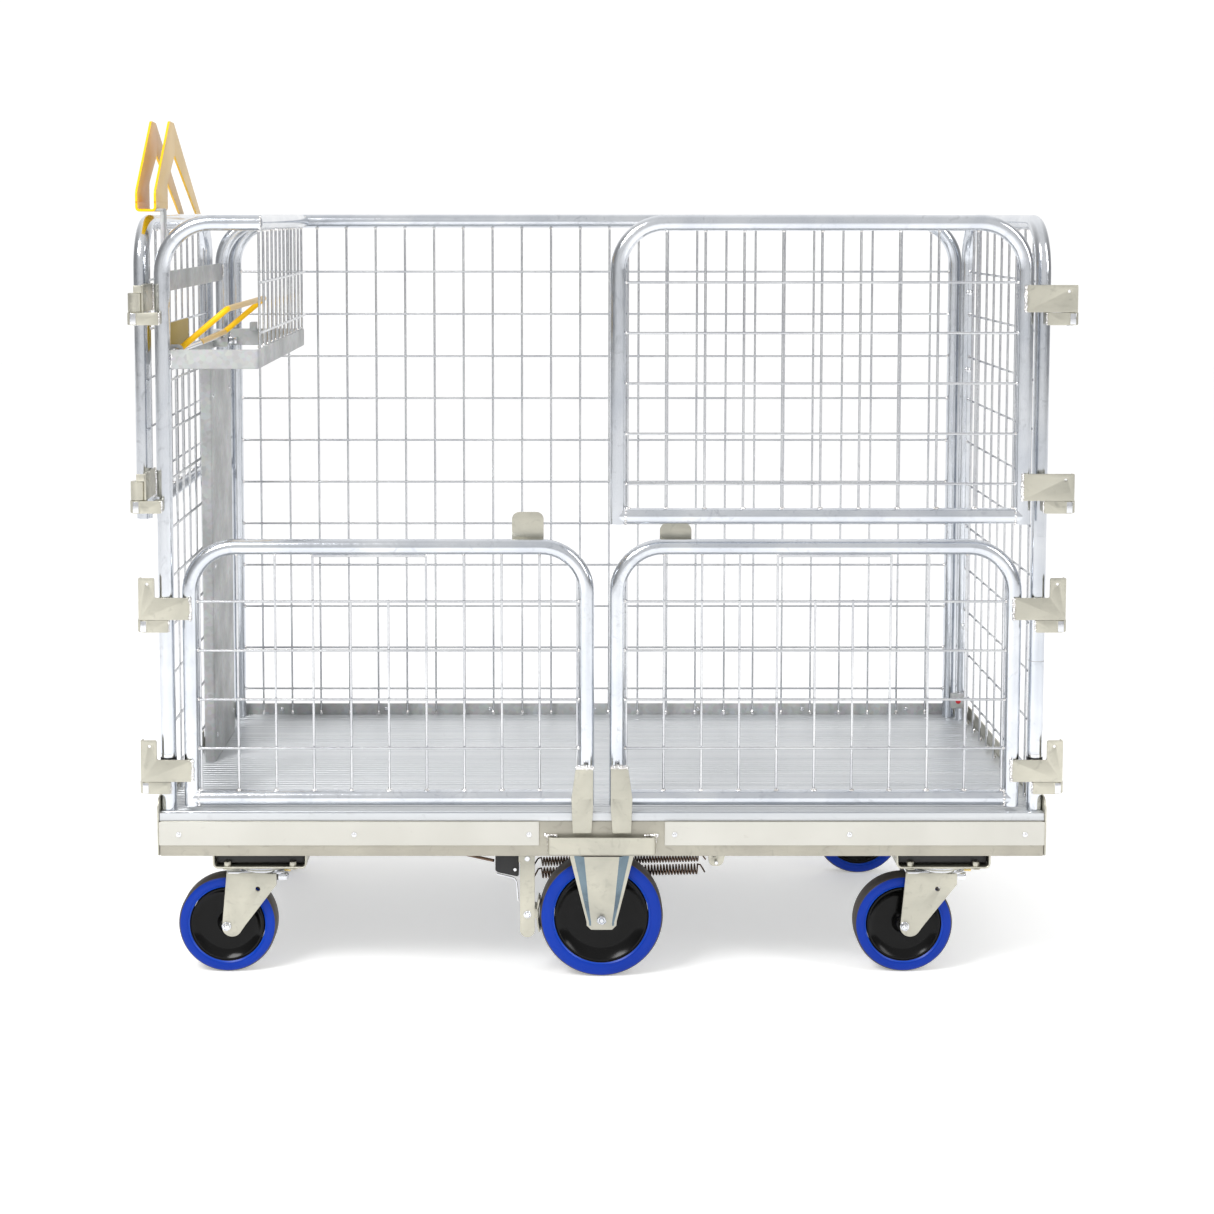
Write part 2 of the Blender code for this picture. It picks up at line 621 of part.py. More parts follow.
def build_castor(side, sign, end, y):
    x = sign * SWIVEL_X
    channel_low = 0.182
    half = 0.076
    top = FRAME_LOW - GAP
    channel = [(x - half, top), (x - half, channel_low), (x + half, channel_low), (x + half, top)]
    channel += [(x + half - SHEET, top), (x + half - SHEET, channel_low + SHEET)]
    channel += [(x - half + SHEET, channel_low + SHEET), (x - half + SHEET, top)]
    add_node(f"castor_mount_{end}_{side}", plate(channel, 0.100, offset=y), PLATE)

    axle_x = x - TRAIL
    cheek_top = 0.169
    cheek = [(axle_x + 0.083, cheek_top), (axle_x + 0.001, cheek_top), (axle_x - 0.007, CASTOR_R)]
    cheek += arc((axle_x + 0.009, CASTOR_R - 0.001), 0.0165, 190, 330, 4)
    cheek += [(axle_x + 0.031, CASTOR_R), (axle_x + 0.083, cheek_top - 0.018)]
    inner = CASTOR_WIDTH / 2 + 0.0035
    pieces = []
    for wall_sign in (-1, 1):
        pieces.append(plate(cheek, 0.004, offset=y + wall_sign * (inner + 0.002)))
    crown_x = (axle_x + 0.001, axle_x + 0.083)
    crown = box(crown_x, (y - inner - 0.004, y + inner + 0.004), (cheek_top - 0.003, cheek_top + 0.002))
    pieces.append(cylinder((x, y), 0.036, cheek_top - 0.001, channel_low - GAP, sides=16))
    reach = inner + 0.011
    pieces.append(cylinder((axle_x, CASTOR_R), 0.006, y - reach, y + reach, axis="Y", sides=6))
    add_node(f"castor_fork_{end}_{side}", combine(crown, pieces), PLATE)
    build_wheel(f"castor_{end}_{side}", CASTOR_R, CASTOR_WIDTH, (axle_x, y, CASTOR_R))


def build_centre_wheel(end, sign):
    y = sign * CENTRE_Y
    top = FRAME_LOW - GAP
    inner = CENTRE_WIDTH / 2 + 0.004
    flank = [(-0.052, top), (-0.024, CENTRE_R - 0.006)]
    flank += arc((-0.017, CENTRE_R - 0.010), 0.007, 190, 265, 2)
    flank += arc((0.017, CENTRE_R - 0.010), 0.007, 275, 350, 2)
    flank += [(0.024, CENTRE_R - 0.006), (0.052, top)]
    pieces = [plate(flank, 0.004, offset=y + side * (inner + 0.002)) for side in (-1, 1)]
    crown = box((-0.050, 0.050), (y - inner - 0.004, y + inner + 0.004), (top - 0.004, top))
    reach = inner + 0.013
    pieces.append(cylinder((0.0, CENTRE_R), 0.007, y - reach, y + reach, axis="Y", sides=6))
    add_node(f"centre_fork_{end}", combine(crown, pieces), PLATE)
    build_wheel(f"centre_{end}", CENTRE_R, CENTRE_WIDTH, (0.0, y, CENTRE_R))


def build_wheels():
    for end, y in zip(("front", "rear"), CASTOR_Y):
        for side, sign in (("left", -1), ("right", 1)):
            build_castor(side, sign, end, y)
    build_centre_wheel("front", -1)
    build_centre_wheel("rear", 1)


# ---- brake and handles -----------------------------------------------------
def build_brake():
    y = -CENTRE_Y
    hang_x = -0.120
    pivot_z = 0.197
    arm = [(hang_x + 0.012, pivot_z + 0.005), (hang_x + 0.012, 0.076)]
    arm += arc((hang_x, 0.078), 0.012, -15, -165, 4)
    arm += [(hang_x - 0.012, 0.076), (hang_x - 0.012, pivot_z + 0.005)]
    face_y = y - 0.021
    mesh = plate(arm, 0.004, offset=face_y)
    hook = box((hang_x - 0.006, hang_x + 0.006), (face_y, y + 0.032), (0.152, 0.160))
    pivot = cylinder((hang_x, pivot_z), 0.0045, face_y - 0.005, y + 0.006, axis="Y")
    boss = cylinder((hang_x, CENTRE_R + 0.004), 0.005, face_y - 0.006, y - 0.0178, axis="Y")
    add_node("brake_arm", combine(mesh, [hook, pivot, boss]), PLATE)

    face = CENTRE_R + 0.0012
    half_angle = 15
    shoe = [(u, v + CENTRE_R) for u, v in arc((0, 0), face, 180 - half_angle, 180 + half_angle, 6)]
    back = face + 0.004
    shoe += [(u, v + CENTRE_R) for u, v in arc((0, 0), back, 180 + half_angle, 180 - half_angle, 6)]
    lug_x = (hang_x - 0.006, -face - 0.001)
    lug = box(lug_x, (y - 0.0175, y + 0.0180), (CENTRE_R - 0.004, CENTRE_R + 0.012))
    add_node("brake_shoe", combine(plate(shoe, 0.036, offset=y + 0.0005), [lug]), PLATE)

    top = FRAME_LOW - GAP
    block = box((-0.172, hang_x - 0.014), (y - 0.016, y + 0.024), (0.170, top))
    clevis_x = (hang_x - 0.016, hang_x + 0.008)
    clevis = box(clevis_x, (y - 0.0155, y + 0.004), (pivot_z - 0.009, top - 0.0005))
    bore = cylinder((hang_x, pivot_z), 0.0060, y - 0.018, y + 0.010, axis="Y")
    mesh = combine(combine(block, [clevis]), [bore], "DIFFERENCE")
    add_node("brake_cable_block", mesh, BLACK)
    route = [(-0.655, 0.080, 0.2015), (-0.520, -0.020, 0.2005), (-0.400, -0.140, 0.1975)]
    route += [(-0.290, -0.245, 0.1925), (-0.1750, y, 0.1865)]
    add_node("brake_rod", tube(route, 0.0025, 1), BLACK)

    anchor_x = 0.175
    anchor = [(anchor_x, FRAME_LOW - GAP), (anchor_x + 0.004, 0.163), (anchor_x + 0.026, 0.163)]
    anchor.append((anchor_x + 0.036, FRAME_LOW - GAP))
    mesh = plate(anchor, 0.005, offset=y + 0.048)
    pin = cylinder((anchor_x + 0.015, 0.172), 0.003, y + 0.033, y + 0.063, axis="Y", sides=6)
    add_node("spring_anchor", combine(mesh, [pin]), PLATE)

    spring_far = anchor_x - 0.008
    spring_near = hang_x + 0.0125
    add_node("brake_spring_upper", spring_bar(spring_near, spring_far, y + 0.041, 0.176, 0.0085), BLACK)
    add_node("brake_spring_lower", spring_bar(spring_near, spring_far, y + 0.060, 0.150, 0.0105), BLACK)


def spring_bar(near, far, y, z, radius):
    return cylinder((y, z), radius, near, far, axis="X", sides=10)


def handle_plate(x):
    """One side of the upper handle: a broad near leg, a peak and a long slender far leg."""
    outline = [(0.000, -0.004), (FOOT_LONG, -0.004), (FOOT_LONG, 0.042), (0.175, 0.090)]
    outline += [(0.389, -0.008), (0.432, -0.008), (0.172, 0.144), (0.160, 0.150)]
    outline += [(0.134, 0.146), (0.000, 0.028)]
    return plate(outline, HANDLE_SHEET, plane="YZ", offset=x)


def lever_loop():
    """The brake lever's loop of bar, which leans inward over its shaft."""
    half = LEVER_BAR / 2
    outer = [(0.000, -half), (HANDLE_LONG, -half), (HANDLE_LONG, LEVER_HIGH), (0.000, LEVER_HIGH)]
    near, far, top = LEVER_BAR, HANDLE_LONG - LEVER_BAR, LEVER_HIGH - LEVER_BAR
    window = [(near, half), (near, top), (far, top), (far, half)]
    loop = plate(outer, LEVER_BAR, plane="YZ", holes=(window,))
    loop.transform(Matrix.Rotation(LEVER_LEAN, 4, "Y"))
    return loop


def build_handles():
    spread = 0.030
    web = box((0.0, spread), (0.001, FOOT_LONG - 0.001), (-0.0035, 0.0005))
    arm = box((spread, 0.0430), (0.002, 0.029), (-0.0030, 0.0010))
    upright = box((0.0375, 0.0435), (0.003, 0.028), (-0.127, 0.0003))
    mesh = combine(handle_plate(0.0), [handle_plate(spread), web, arm, upright])
    add_node("upper_handle", mesh, YELLOW, location=(-0.7455, HANDLE_Y, 1.2435))

    lever = add_axis("brake_lever_axis", (LEVER_X, 0, LEVER_Z))
    shaft = cylinder((0.0, 0.0), 0.005, -0.015, HANDLE_LONG + 0.015, axis="Y")
    mesh = combine(lever_loop(), [shaft])
    add_node("brake_lever", mesh, YELLOW, location=(0.0, HANDLE_Y, 0.0), parent=lever)


def main():
    build_base()
    build_back_panel()
    build_right_end()
    build_left_end()
    build_bay_wall()
    build_linkage_cover()
    build_doors()
    build_wheels()
    build_brake()
    build_handles()


main()
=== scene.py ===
"""The looks of the roll cage container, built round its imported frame.

Metres, +Z up, +X to the right, +Y to the back. Pieces are laid out from the middle of
the deck, as the frame's own parts are, and moved to the frame's origin as they are made.
"""

import math
import random

import bmesh
import bpy
from mathutils import Matrix, Vector, noise


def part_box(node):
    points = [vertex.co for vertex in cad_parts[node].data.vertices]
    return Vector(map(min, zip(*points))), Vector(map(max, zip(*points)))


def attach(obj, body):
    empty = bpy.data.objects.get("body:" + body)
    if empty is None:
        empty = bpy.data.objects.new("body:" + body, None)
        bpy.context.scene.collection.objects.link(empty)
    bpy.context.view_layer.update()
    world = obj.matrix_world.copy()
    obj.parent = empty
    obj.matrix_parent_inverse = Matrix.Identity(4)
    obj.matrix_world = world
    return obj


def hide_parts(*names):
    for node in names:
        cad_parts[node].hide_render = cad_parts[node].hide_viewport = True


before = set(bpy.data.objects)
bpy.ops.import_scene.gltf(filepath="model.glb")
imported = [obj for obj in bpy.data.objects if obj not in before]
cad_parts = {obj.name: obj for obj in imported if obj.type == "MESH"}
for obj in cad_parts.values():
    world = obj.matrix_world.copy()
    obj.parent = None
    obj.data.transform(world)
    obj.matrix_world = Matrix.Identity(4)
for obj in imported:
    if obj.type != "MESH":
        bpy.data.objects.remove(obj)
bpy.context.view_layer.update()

# ---- driving dimensions ------------------------------------------------------
base_low, base_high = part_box("base_frame")
AHEAD = (base_low.y + base_high.y) / 2       # where the middle of the deck lies in the frame
BASE_X = base_high.x
BASE_Y = (base_high.y - base_low.y) / 2
FRAME_LOW = base_low.z
UNDER_DECK = base_high.z
DECK_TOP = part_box("deck_plank_1")[1].z

GAP = 0.0003
TUBE = 0.0125
WIRE_R = 0.0021
SHEET = 0.003
CORNER = 0.080
DOOR_CORNER = 0.074

POST_X = 0.699
POST_Y = 0.320
REAR_POST_Y = 0.2965
BACK_Y = 0.3225
SIDE_MID = (REAR_POST_Y - POST_Y) / 2
SIDE_HALF = (REAR_POST_Y + POST_Y) / 2
CAGE_TOP = 1.222
ROW_TOP = 1.127
ROW_PITCH = 0.0797
BACK_PITCH = 0.0551
SIDE_PITCH = 0.0617
WALL_ROWS = [ROW_TOP - ROW_PITCH * row for row in range(11)]

DOOR_SET = 0.004
LOWER_AXIS = (0.731, -POST_Y - DOOR_SET)
UPPER_AXIS = (0.735, -0.3495)
TAB_CLEAR = 0.001
DOOR_GAP = 0.012
DOOR_MARGIN = 0.0150
DOOR_COLUMNS = 11
DOOR_ROW_PITCH = 0.0798
DOOR_WINDOW = (0.45, 0.64)
UPPER_OUTER = 0.679
LOWER_OUTER = 0.674
UPPER_DOOR_Z = (0.758, 1.222)
LOWER_DOOR_Z = (0.2955, 0.7045)
UPPER_LEAVES = (0.784, 1.082)
LOWER_LEAVES = (0.325, 0.5885)
FOOT_END = 0.2435
UPPER_ROW_DROP = 0.0935
LOWER_ROW_DROP = 0.0885
TAB_X = 0.119
KNUCKLE = 0.0135
BRACKET_HIGH = 0.020
BARREL_HIGH = 0.030
PIN = 0.0035

SWIVEL_X = 0.552
CASTOR_Y = (-0.286, 0.238)
TRAIL = 0.058
CASTOR_R = 0.080
CASTOR_WIDTH = 0.044
CENTRE_R = 0.100
CENTRE_WIDTH = 0.048
CENTRE_Y = 0.306

BAY_X = -0.550
BAY_LOW = 0.990
STRIP_HIGH = 0.031
BAR_Z = 1.128
FLAT_X = (-POST_X - 0.002, -POST_X + 0.002)  # the flat bars and the shield of the left end
HANDLE_Y = -0.280
HANDLE_LONG = 0.450
HANDLE_SHEET = 0.004
FOOT_LONG = 0.105
LEVER_BAR = 0.010
LEVER_HIGH = 0.110
LEVER_LEAN = math.radians(50)
LEVER_X = -0.683
LEVER_Z = 1.016

TUBE_SIDES = 28
WIRE_SIDES = 10
WHEEL_SIDES = 72
SHARP = math.radians(38)
FORWARD = (0, -1, 0)
random.seed(7)


# ---- finishes ------------------------------------------------------------------
def add_node(tree, kind, **values):
    """A new shader node with some of its inputs set; an underscore stands for a space."""
    node = tree.nodes.new("ShaderNode" + kind)
    for name, value in values.items():
        node.inputs[name.replace("_", " ")].default_value = value
    return node


class Nodes:
    """A material's node tree, with short calls to add and join nodes."""

    def __init__(self, name):
        self.made = bpy.data.materials.new(name)
        self.made.use_nodes = True
        self.tree = self.made.node_tree
        self.shader = self.tree.nodes["Principled BSDF"]
        self.coordinates = add_node(self.tree, "TexCoord").outputs["Object"]

    def link(self, source, target):
        self.tree.links.new(source, target)

    def texture(self, kind, stretch, **values):
        """A texture laid on the piece's own coordinates, each stretched by its own factor."""
        node = add_node(self.tree, kind, **values)
        scaled = add_node(self.tree, "Mapping", Scale=stretch)
        self.link(self.coordinates, scaled.inputs["Vector"])
        self.link(scaled.outputs["Vector"], node.inputs["Vector"])
        return node

    def noise(self, scale, detail=4.0, stretch=(1, 1, 1), distortion=0.0):
        node = self.texture("TexNoise", stretch, Scale=scale, Detail=detail, Distortion=distortion)
        return node.outputs["Fac"]

    def span(self, source, low, high, from_low=0.3, from_high=0.7):
        """Map a value's range to another one."""
        node = add_node(
            self.tree, "MapRange", From_Min=from_low, From_Max=from_high, To_Min=low, To_Max=high
        )
        self.link(source, node.inputs["Value"])
        return node.outputs["Result"]

    def mix(self, factor, first, second):
        """Blend two colours, or a colour socket with a colour."""
        node = add_node(self.tree, "Mix")
        node.data_type = "RGBA"
        colours = [socket for socket in node.inputs if socket.type == "RGBA"]
        for value, socket in zip((first, second), colours):
            if isinstance(value, bpy.types.NodeSocket):
                self.link(value, socket)
            else:
                socket.default_value = (*value, 1.0)
        if isinstance(factor, float):
            node.inputs["Factor"].default_value = factor
        else:
            self.link(factor, node.inputs["Factor"])
        return [socket for socket in node.outputs if socket.type == "RGBA"][0]

    def relief(self, height, strength, distance=0.0004):
        node = add_node(self.tree, "Bump", Strength=strength, Distance=distance)
        self.link(height, node.inputs["Height"])
        self.link(node.outputs["Normal"], self.shader.inputs["Normal"])

    def paint(self, colour, roughness, **values):
        """Join colour and roughness to the shader, and set what is the same all over."""
        self.link(colour, self.shader.inputs["Base Color"])
        self.link(roughness, self.shader.inputs["Roughness"])
        for name, value in values.items():
            self.shader.inputs[name.replace("_", " ")].default_value = value
        return self.made


def zinc_finish(name, light, dark, gloss, streak=(1, 1, 1), metallic=1.0, grain=0.15):
    """Electroplated zinc: cloudy tint, fine draw marks, small stains and uneven gloss."""
    nodes = Nodes(name)
    cloud = nodes.noise(9.0, 5.0, distortion=0.6)
    marks = nodes.noise(260.0, 3.0, stretch=streak)
    stains = nodes.noise(55.0, 6.0, distortion=1.2)
    base = nodes.mix(nodes.span(cloud, 0.0, 1.0), light, dark)
    stained = nodes.mix(nodes.span(stains, 0.0, 0.45, 0.58, 0.80), base, [0.55 * part for part in dark])
    nodes.relief(marks, grain)
    return nodes.paint(stained, nodes.span(marks, *gloss), Metallic=metallic)


def galvanised_finish(name):
    """Hot-dip zinc: small crystals of slightly different grey, matt and soft."""
    nodes = Nodes(name)
    crystals = nodes.texture("TexVoronoi", (1, 1, 1), Scale=140.0).outputs["Color"]
    cloud = nodes.noise(16.0, 4.0)
    crystal_grey = nodes.mix(0.16, (0.50, 0.525, 0.53), crystals)
    tint = nodes.mix(nodes.span(cloud, 0.0, 0.7), crystal_grey, (0.36, 0.385, 0.38))
    grey = add_node(nodes.tree, "HueSaturation", Saturation=0.35)
    nodes.link(tint, grey.inputs["Color"])
    nodes.relief(nodes.noise(420.0, 2.0), 0.12, 0.0003)
    return nodes.paint(grey.outputs["Color"], nodes.span(cloud, 0.42, 0.60), Metallic=0.55)


def paint_finish(name, light, dark, gloss, relief=0.06, worn=None, shine=0.5):
    """Powder coat or moulding: slight orange peel, a drift of tone, optional wear marks."""
    nodes = Nodes(name)
    drift = nodes.noise(6.0, 3.0)
    peel = nodes.noise(520.0, 1.5)
    base = nodes.mix(nodes.span(drift, 0.0, 1.0), light, dark)
    if worn:
        rubs = nodes.noise(75.0, 7.0, stretch=(1, 1, 2.5), distortion=0.8)
        base = nodes.mix(nodes.span(rubs, 0.0, 0.5, 0.66, 0.78), base, worn)
    nodes.relief(peel, relief)
    return nodes.paint(base, nodes.span(drift, *gloss), Specular_IOR_Level=shine)


def deck_finish(name):
    """Extruded aluminium: die lines along X, cloudy tone, small scuffs."""
    nodes = Nodes(name)
    lines = nodes.noise(900.0, 2.0, stretch=(0.004, 1, 1))
    broad = nodes.noise(60.0, 2.0, stretch=(0.01, 1, 1))
    cloud = nodes.noise(3.5, 4.0)
    scuffs = nodes.noise(38.0, 8.0, distortion=1.5)
    base = nodes.mix(nodes.span(broad, 0.0, 1.0), (0.70, 0.715, 0.73), (0.60, 0.62, 0.645))
    base = nodes.mix(nodes.span(cloud, 0.0, 0.5), base, (0.52, 0.54, 0.56))
    base = nodes.mix(nodes.span(scuffs, 0.0, 0.5, 0.62, 0.80), base, (0.44, 0.45, 0.46))
    nodes.relief(lines, 0.20)
    return nodes.paint(base, nodes.span(lines, 0.30, 0.48), Metallic=0.75)


FINISH = {
    "tube": zinc_finish("zinc_tube", (0.74, 0.76, 0.79), (0.58, 0.61, 0.66), (0.12, 0.22), (1, 1, 0.15)),
    "wire": zinc_finish("zinc_wire", (0.72, 0.73, 0.74), (0.54, 0.55, 0.58), (0.16, 0.28)),
    "plate": zinc_finish(
        "zinc_plate", (0.60, 0.58, 0.49), (0.44, 0.43, 0.37), (0.32, 0.46), (0.2, 1, 1), 0.9, 0.10
    ),
    "bright": zinc_finish("bright_zinc", (0.80, 0.81, 0.83), (0.62, 0.63, 0.66), (0.08, 0.16)),
    # band: slate-blue zinc for the fork's sloping flank faces, painted shade on the faces turned sideways
    "band": zinc_finish(
        "painted_shade_zinc", (0.20, 0.27, 0.31), (0.13, 0.18, 0.22), (0.26, 0.40), (0.2, 1, 1), 0.8
    ),
    "bead": zinc_finish("weld_bead", (0.95, 0.94, 0.94), (0.66, 0.64, 0.62), (0.12, 0.28), grain=0.4),
    # rail: zinc darker than the plates, painted shade for the low, dimly lit base beams
    "rail": zinc_finish(
        "base_rail_painted_shade", (0.46, 0.44, 0.37), (0.37, 0.35, 0.30), (0.34, 0.48), (0.1, 1, 1), 0.7, 0.08
    ),
    "galvanised": galvanised_finish("galvanised"),
    "cover": paint_finish(
        "cover_strip", (0.62, 0.61, 0.56), (0.55, 0.54, 0.49), (0.30, 0.42), 0.04, (0.50, 0.48, 0.43)
    ),
    "deck": deck_finish("deck_aluminium"),
    "blue": paint_finish(
        "blue_rubber", (0.001, 0.040, 0.400), (0.001, 0.028, 0.300), (0.30, 0.42), 0.05,
        (0.004, 0.055, 0.42), 0.2,
    ),
    "ring": paint_finish(
        "blue_ring", (0.003, 0.065, 0.52), (0.002, 0.050, 0.42), (0.25, 0.35), 0.04, shine=0.3
    ),
    "tread": paint_finish(
        "tread_rubber", (0.070, 0.058, 0.052), (0.045, 0.038, 0.035), (0.55, 0.75), 0.15,
        (0.13, 0.12, 0.11),
    ),
    "hub": paint_finish(
        "black_nylon", (0.003, 0.003, 0.003), (0.002, 0.002, 0.002), (0.12, 0.20), 0.03, shine=0.18
    ),
    "black": paint_finish(
        "black_moulding", (0.016, 0.016, 0.017), (0.009, 0.009, 0.010), (0.40, 0.55), 0.15,
        (0.05, 0.05, 0.05),
    ),
    "spring": zinc_finish("spring_steel", (0.20, 0.13, 0.09), (0.05, 0.04, 0.04), (0.16, 0.26)),
    "yellow": paint_finish(
        "yellow_paint", (1.0, 0.60, 0.002), (0.94, 0.52, 0.002), (0.30, 0.42), 0.08,
        (0.72, 0.42, 0.01), 0.3,
    ),
    # sand: a paler copy of the yellow paint, painted reflection of the white surroundings on the handles'
    # flat faces
    "painted_reflection_yellow": paint_finish("pale_yellow_painted_reflection", (0.76, 0.50, 0.15), (0.66, 0.46, 0.19), (0.30, 0.42), 0.08),
    # olive: the yellow paint darkened, painted shade for the plate that lies in the handle's shadow
    "painted_shade_yellow": paint_finish(
        "shaded_yellow_paint", (0.44, 0.30, 0.006), (0.34, 0.23, 0.010), (0.32, 0.45), 0.08
    ),
    "brass": zinc_finish("brass_nipple", (0.78, 0.62, 0.30), (0.60, 0.46, 0.20), (0.20, 0.35)),
    "red": paint_finish("red_mark", (0.60, 0.02, 0.03), (0.50, 0.02, 0.02), (0.30, 0.42)),
}


# ---- shapes ----------------------------------------------------------------------
def bent(corners, radius, steps=12):
    """Points of a path through corners, each inner corner rounded to an arc."""
    corners = [Vector(corner) for corner in corners]
    path = [corners[0]]
    for before, corner, after in zip(corners, corners[1:], corners[2:]):
        back = (before - corner).normalized()
        onward = (after - corner).normalized()
        half = back.angle(onward) / 2
        reach = radius / math.tan(half)
        centre = corner + (back + onward).normalized() * (radius / math.sin(half))
        start = corner + back * reach - centre
        axis = start.cross(corner + onward * reach - centre)
        for step in range(steps + 1):
            angle = (math.pi - 2 * half) * step / steps
            path.append(centre + Matrix.Rotation(angle, 3, axis) @ start)
    path.append(corners[-1])
    return path


def arc(centre, radius, start, end, steps):
    """Points on an arc, angles in degrees."""
    points = []
    for step in range(steps + 1):
        angle = math.radians(start + (end - start) * step / steps)
        points.append((centre[0] + radius * math.cos(angle), centre[1] + radius * math.sin(angle)))
    return points


def hole_ring(centre, radius, count):
    """Points of a round hole, turned the other way than an outline."""
    return list(reversed(arc(centre, radius, 0, 360 - 360 / count, count - 1)))


def rounded(corners, radius, steps=5):
    """A flat outline whose corners are rounded; radius may be one value or one for each corner."""
    radii = radius if isinstance(radius, (list, tuple)) else [radius] * len(corners)
    outline = []
    count = len(corners)
    for at in range(count):
        before, corner, after = (Vector((*corners[(at + shift) % count], 0.0)) for shift in (-1, 0, 1))
        if radii[at] <= 0:
            outline.append(tuple(corner[:2]))
            continue
        path = bent([before, corner, after], radii[at], steps)
        outline += [tuple(point[:2]) for point in path[1:-1]]
    return outline


XZ = Matrix.Rotation(math.pi / 2, 4, "X")                  # outline (x, z), thickness along Y
YZ = Matrix.Rotation(math.pi / 2, 4, "Z") @ XZ             # outline (y, z), thickness along X


def upright(y):
    """Stand a plate laid on XY upright, with its middle at y."""
    return Matrix.Translation((0, y, 0)) @ XZ


def along(axis):
    """The turn that lays a shape made along Z on another axis."""
    return Vector((0, 0, 1)).rotation_difference(Vector(axis)).to_matrix().to_4x4()


class Shape:
    """Gathers solids in one mesh, where each face takes one of the named finishes."""

    def __init__(self, *finishes):
        self.finishes = finishes
        self.bm = bmesh.new()

    def take(self, bm, finish, place=None):
        index = self.finishes.index(finish) if finish else 0
        for face in bm.faces:
            face.material_index = index
            face.smooth = True
        if place is not None:
            bmesh.ops.transform(bm, matrix=place, verts=bm.verts)
        mesh = bpy.data.meshes.new("take")
        bm.to_mesh(mesh)
        bm.free()
        self.bm.from_mesh(mesh)
        bpy.data.meshes.remove(mesh)

    def sweep(self, path, radius, finish=None, sides=20, closed=False):
        """A round bar along a path, with flat closed ends."""
        path = [Vector(point) for point in path]
        count = len(path)
        bm = bmesh.new()
        rings = []
        tangent = (path[1] - path[0]).normalized()
        normal = tangent.orthogonal().normalized()
        for at, point in enumerate(path):
            if closed or 0 < at < count - 1:
                onward = (path[(at + 1) % count] - path[at - 1]).normalized()
            else:
                onward = tangent if at == 0 else (path[-1] - path[-2]).normalized()
            normal = (tangent.rotation_difference(onward) @ normal).normalized()
            tangent = onward
            side = tangent.cross(normal)
            ring = []
            for step in range(sides):
                angle = 2 * math.pi * step / sides
                outward = math.cos(angle) * normal + math.sin(angle) * side
                ring.append(bm.verts.new(point + radius * outward))
            rings.append(ring)
        pairs = zip(rings, rings[1:] + rings[:1]) if closed else zip(rings, rings[1:])
        for first, second in pairs:
            for step in range(sides):
                turn = (step + 1) % sides
                bm.faces.new((first[step], first[turn], second[turn], second[step]))
        if not closed:
            bm.faces.new(list(reversed(rings[0])))
            bm.faces.new(rings[-1])
        self.take(bm, finish)

    def tube(self, path, radius=TUBE):
        self.sweep(path, radius, "tube", TUBE_SIDES)

    def wire(self, start, end):
        self.sweep([start, end], WIRE_R, "wire", WIRE_SIDES)

    def block(self, x, y, z, finish=None, soft=0.0006, place=None):
        """A box between the limits given as pairs, with softened edges."""
        bm = bmesh.new()
        size = Matrix.Diagonal((x[1] - x[0], y[1] - y[0], z[1] - z[0], 1.0))
        middle = Vector(((x[0] + x[1]) / 2, (y[0] + y[1]) / 2, (z[0] + z[1]) / 2))
        bmesh.ops.create_cube(bm, size=1.0, matrix=Matrix.Translation(middle) @ size)
        if soft:
            bmesh.ops.bevel(
                bm, geom=bm.edges, offset=soft, segments=2, profile=0.5, affect="EDGES", clamp_overlap=True
            )
        self.take(bm, finish, place)

    def plate(self, outline, thickness, finish=None, place=None, soft=0.0006, holes=(), fold=None):
        """A flat plate with softened edges, laid on XY and then placed.

        fold is a pair (distance along X, rise for each metre past it).
        """
        curve = bpy.data.curves.new("plate", "CURVE")
        curve.dimensions = "2D"
        curve.fill_mode = "BOTH"
        curve.extrude = thickness / 2 - soft
        curve.bevel_depth = soft
        curve.offset = -soft
        curve.bevel_resolution = 1
        for ring in (outline, *holes):
            spline = curve.splines.new("POLY")
            spline.points.add(len(ring) - 1)
            for (u, v), point in zip(ring, spline.points):
                point.co = (u, v, 0.0, 1.0)
            spline.use_cyclic_u = True
        carrier = bpy.data.objects.new("carrier", curve)
        bpy.context.scene.collection.objects.link(carrier)
        mesh = bpy.data.meshes.new_from_object(carrier.evaluated_get(bpy.context.evaluated_depsgraph_get()))
        bpy.data.objects.remove(carrier)
        bpy.data.curves.remove(curve)
        bm = bmesh.new()
        bm.from_mesh(mesh)
        bpy.data.meshes.remove(mesh)
        bmesh.ops.remove_doubles(bm, verts=bm.verts, dist=1e-5)
        bmesh.ops.recalc_face_normals(bm, faces=bm.faces)
        if fold:
            where, rise = fold
            bmesh.ops.bisect_plane(
                bm, geom=bm.verts[:] + bm.edges[:] + bm.faces[:], plane_co=(where, 0, 0), plane_no=(1, 0, 0)
            )
            for vert in bm.verts:
                vert.co.z += max(0.0, vert.co.x - where) * rise
        self.take(bm, finish, place)

    def turned(self, profile, centre, axis=(0, 0, 1), finish=None, sides=24, closed=False):
        """A solid turned about an axis from (radius, height) pairs, bottom to top."""
        bm = bmesh.new()
        corners = [bm.verts.new((radius, 0.0, height)) for radius, height in profile]
        ring = corners[1:] + corners[:1] if closed else corners[1:]
        edges = [bm.edges.new((a, b)) for a, b in zip(corners, ring)]
        bmesh.ops.spin(
            bm, geom=corners + edges, cent=(0, 0, 0), axis=(0, 0, 1),
            angle=2 * math.pi, steps=sides, use_merge=True,
        )
        bmesh.ops.remove_doubles(bm, verts=bm.verts, dist=1e-6)
        bmesh.ops.recalc_face_normals(bm, faces=bm.faces)
        self.take(bm, finish, Matrix.Translation(centre) @ along(axis))

    def rod(self, centre, radius, length, axis=(0, 0, 1), finish=None, sides=24, soft=0.0005):
        """A turned rod or washer that starts at centre and runs along axis, with softened rims."""
        profile = [(0, 0), (radius - soft, 0), (radius, soft)]
        profile += [(radius, length - soft), (radius - soft, length), (0, length)]
        self.turned(profile, centre, axis, finish, sides)

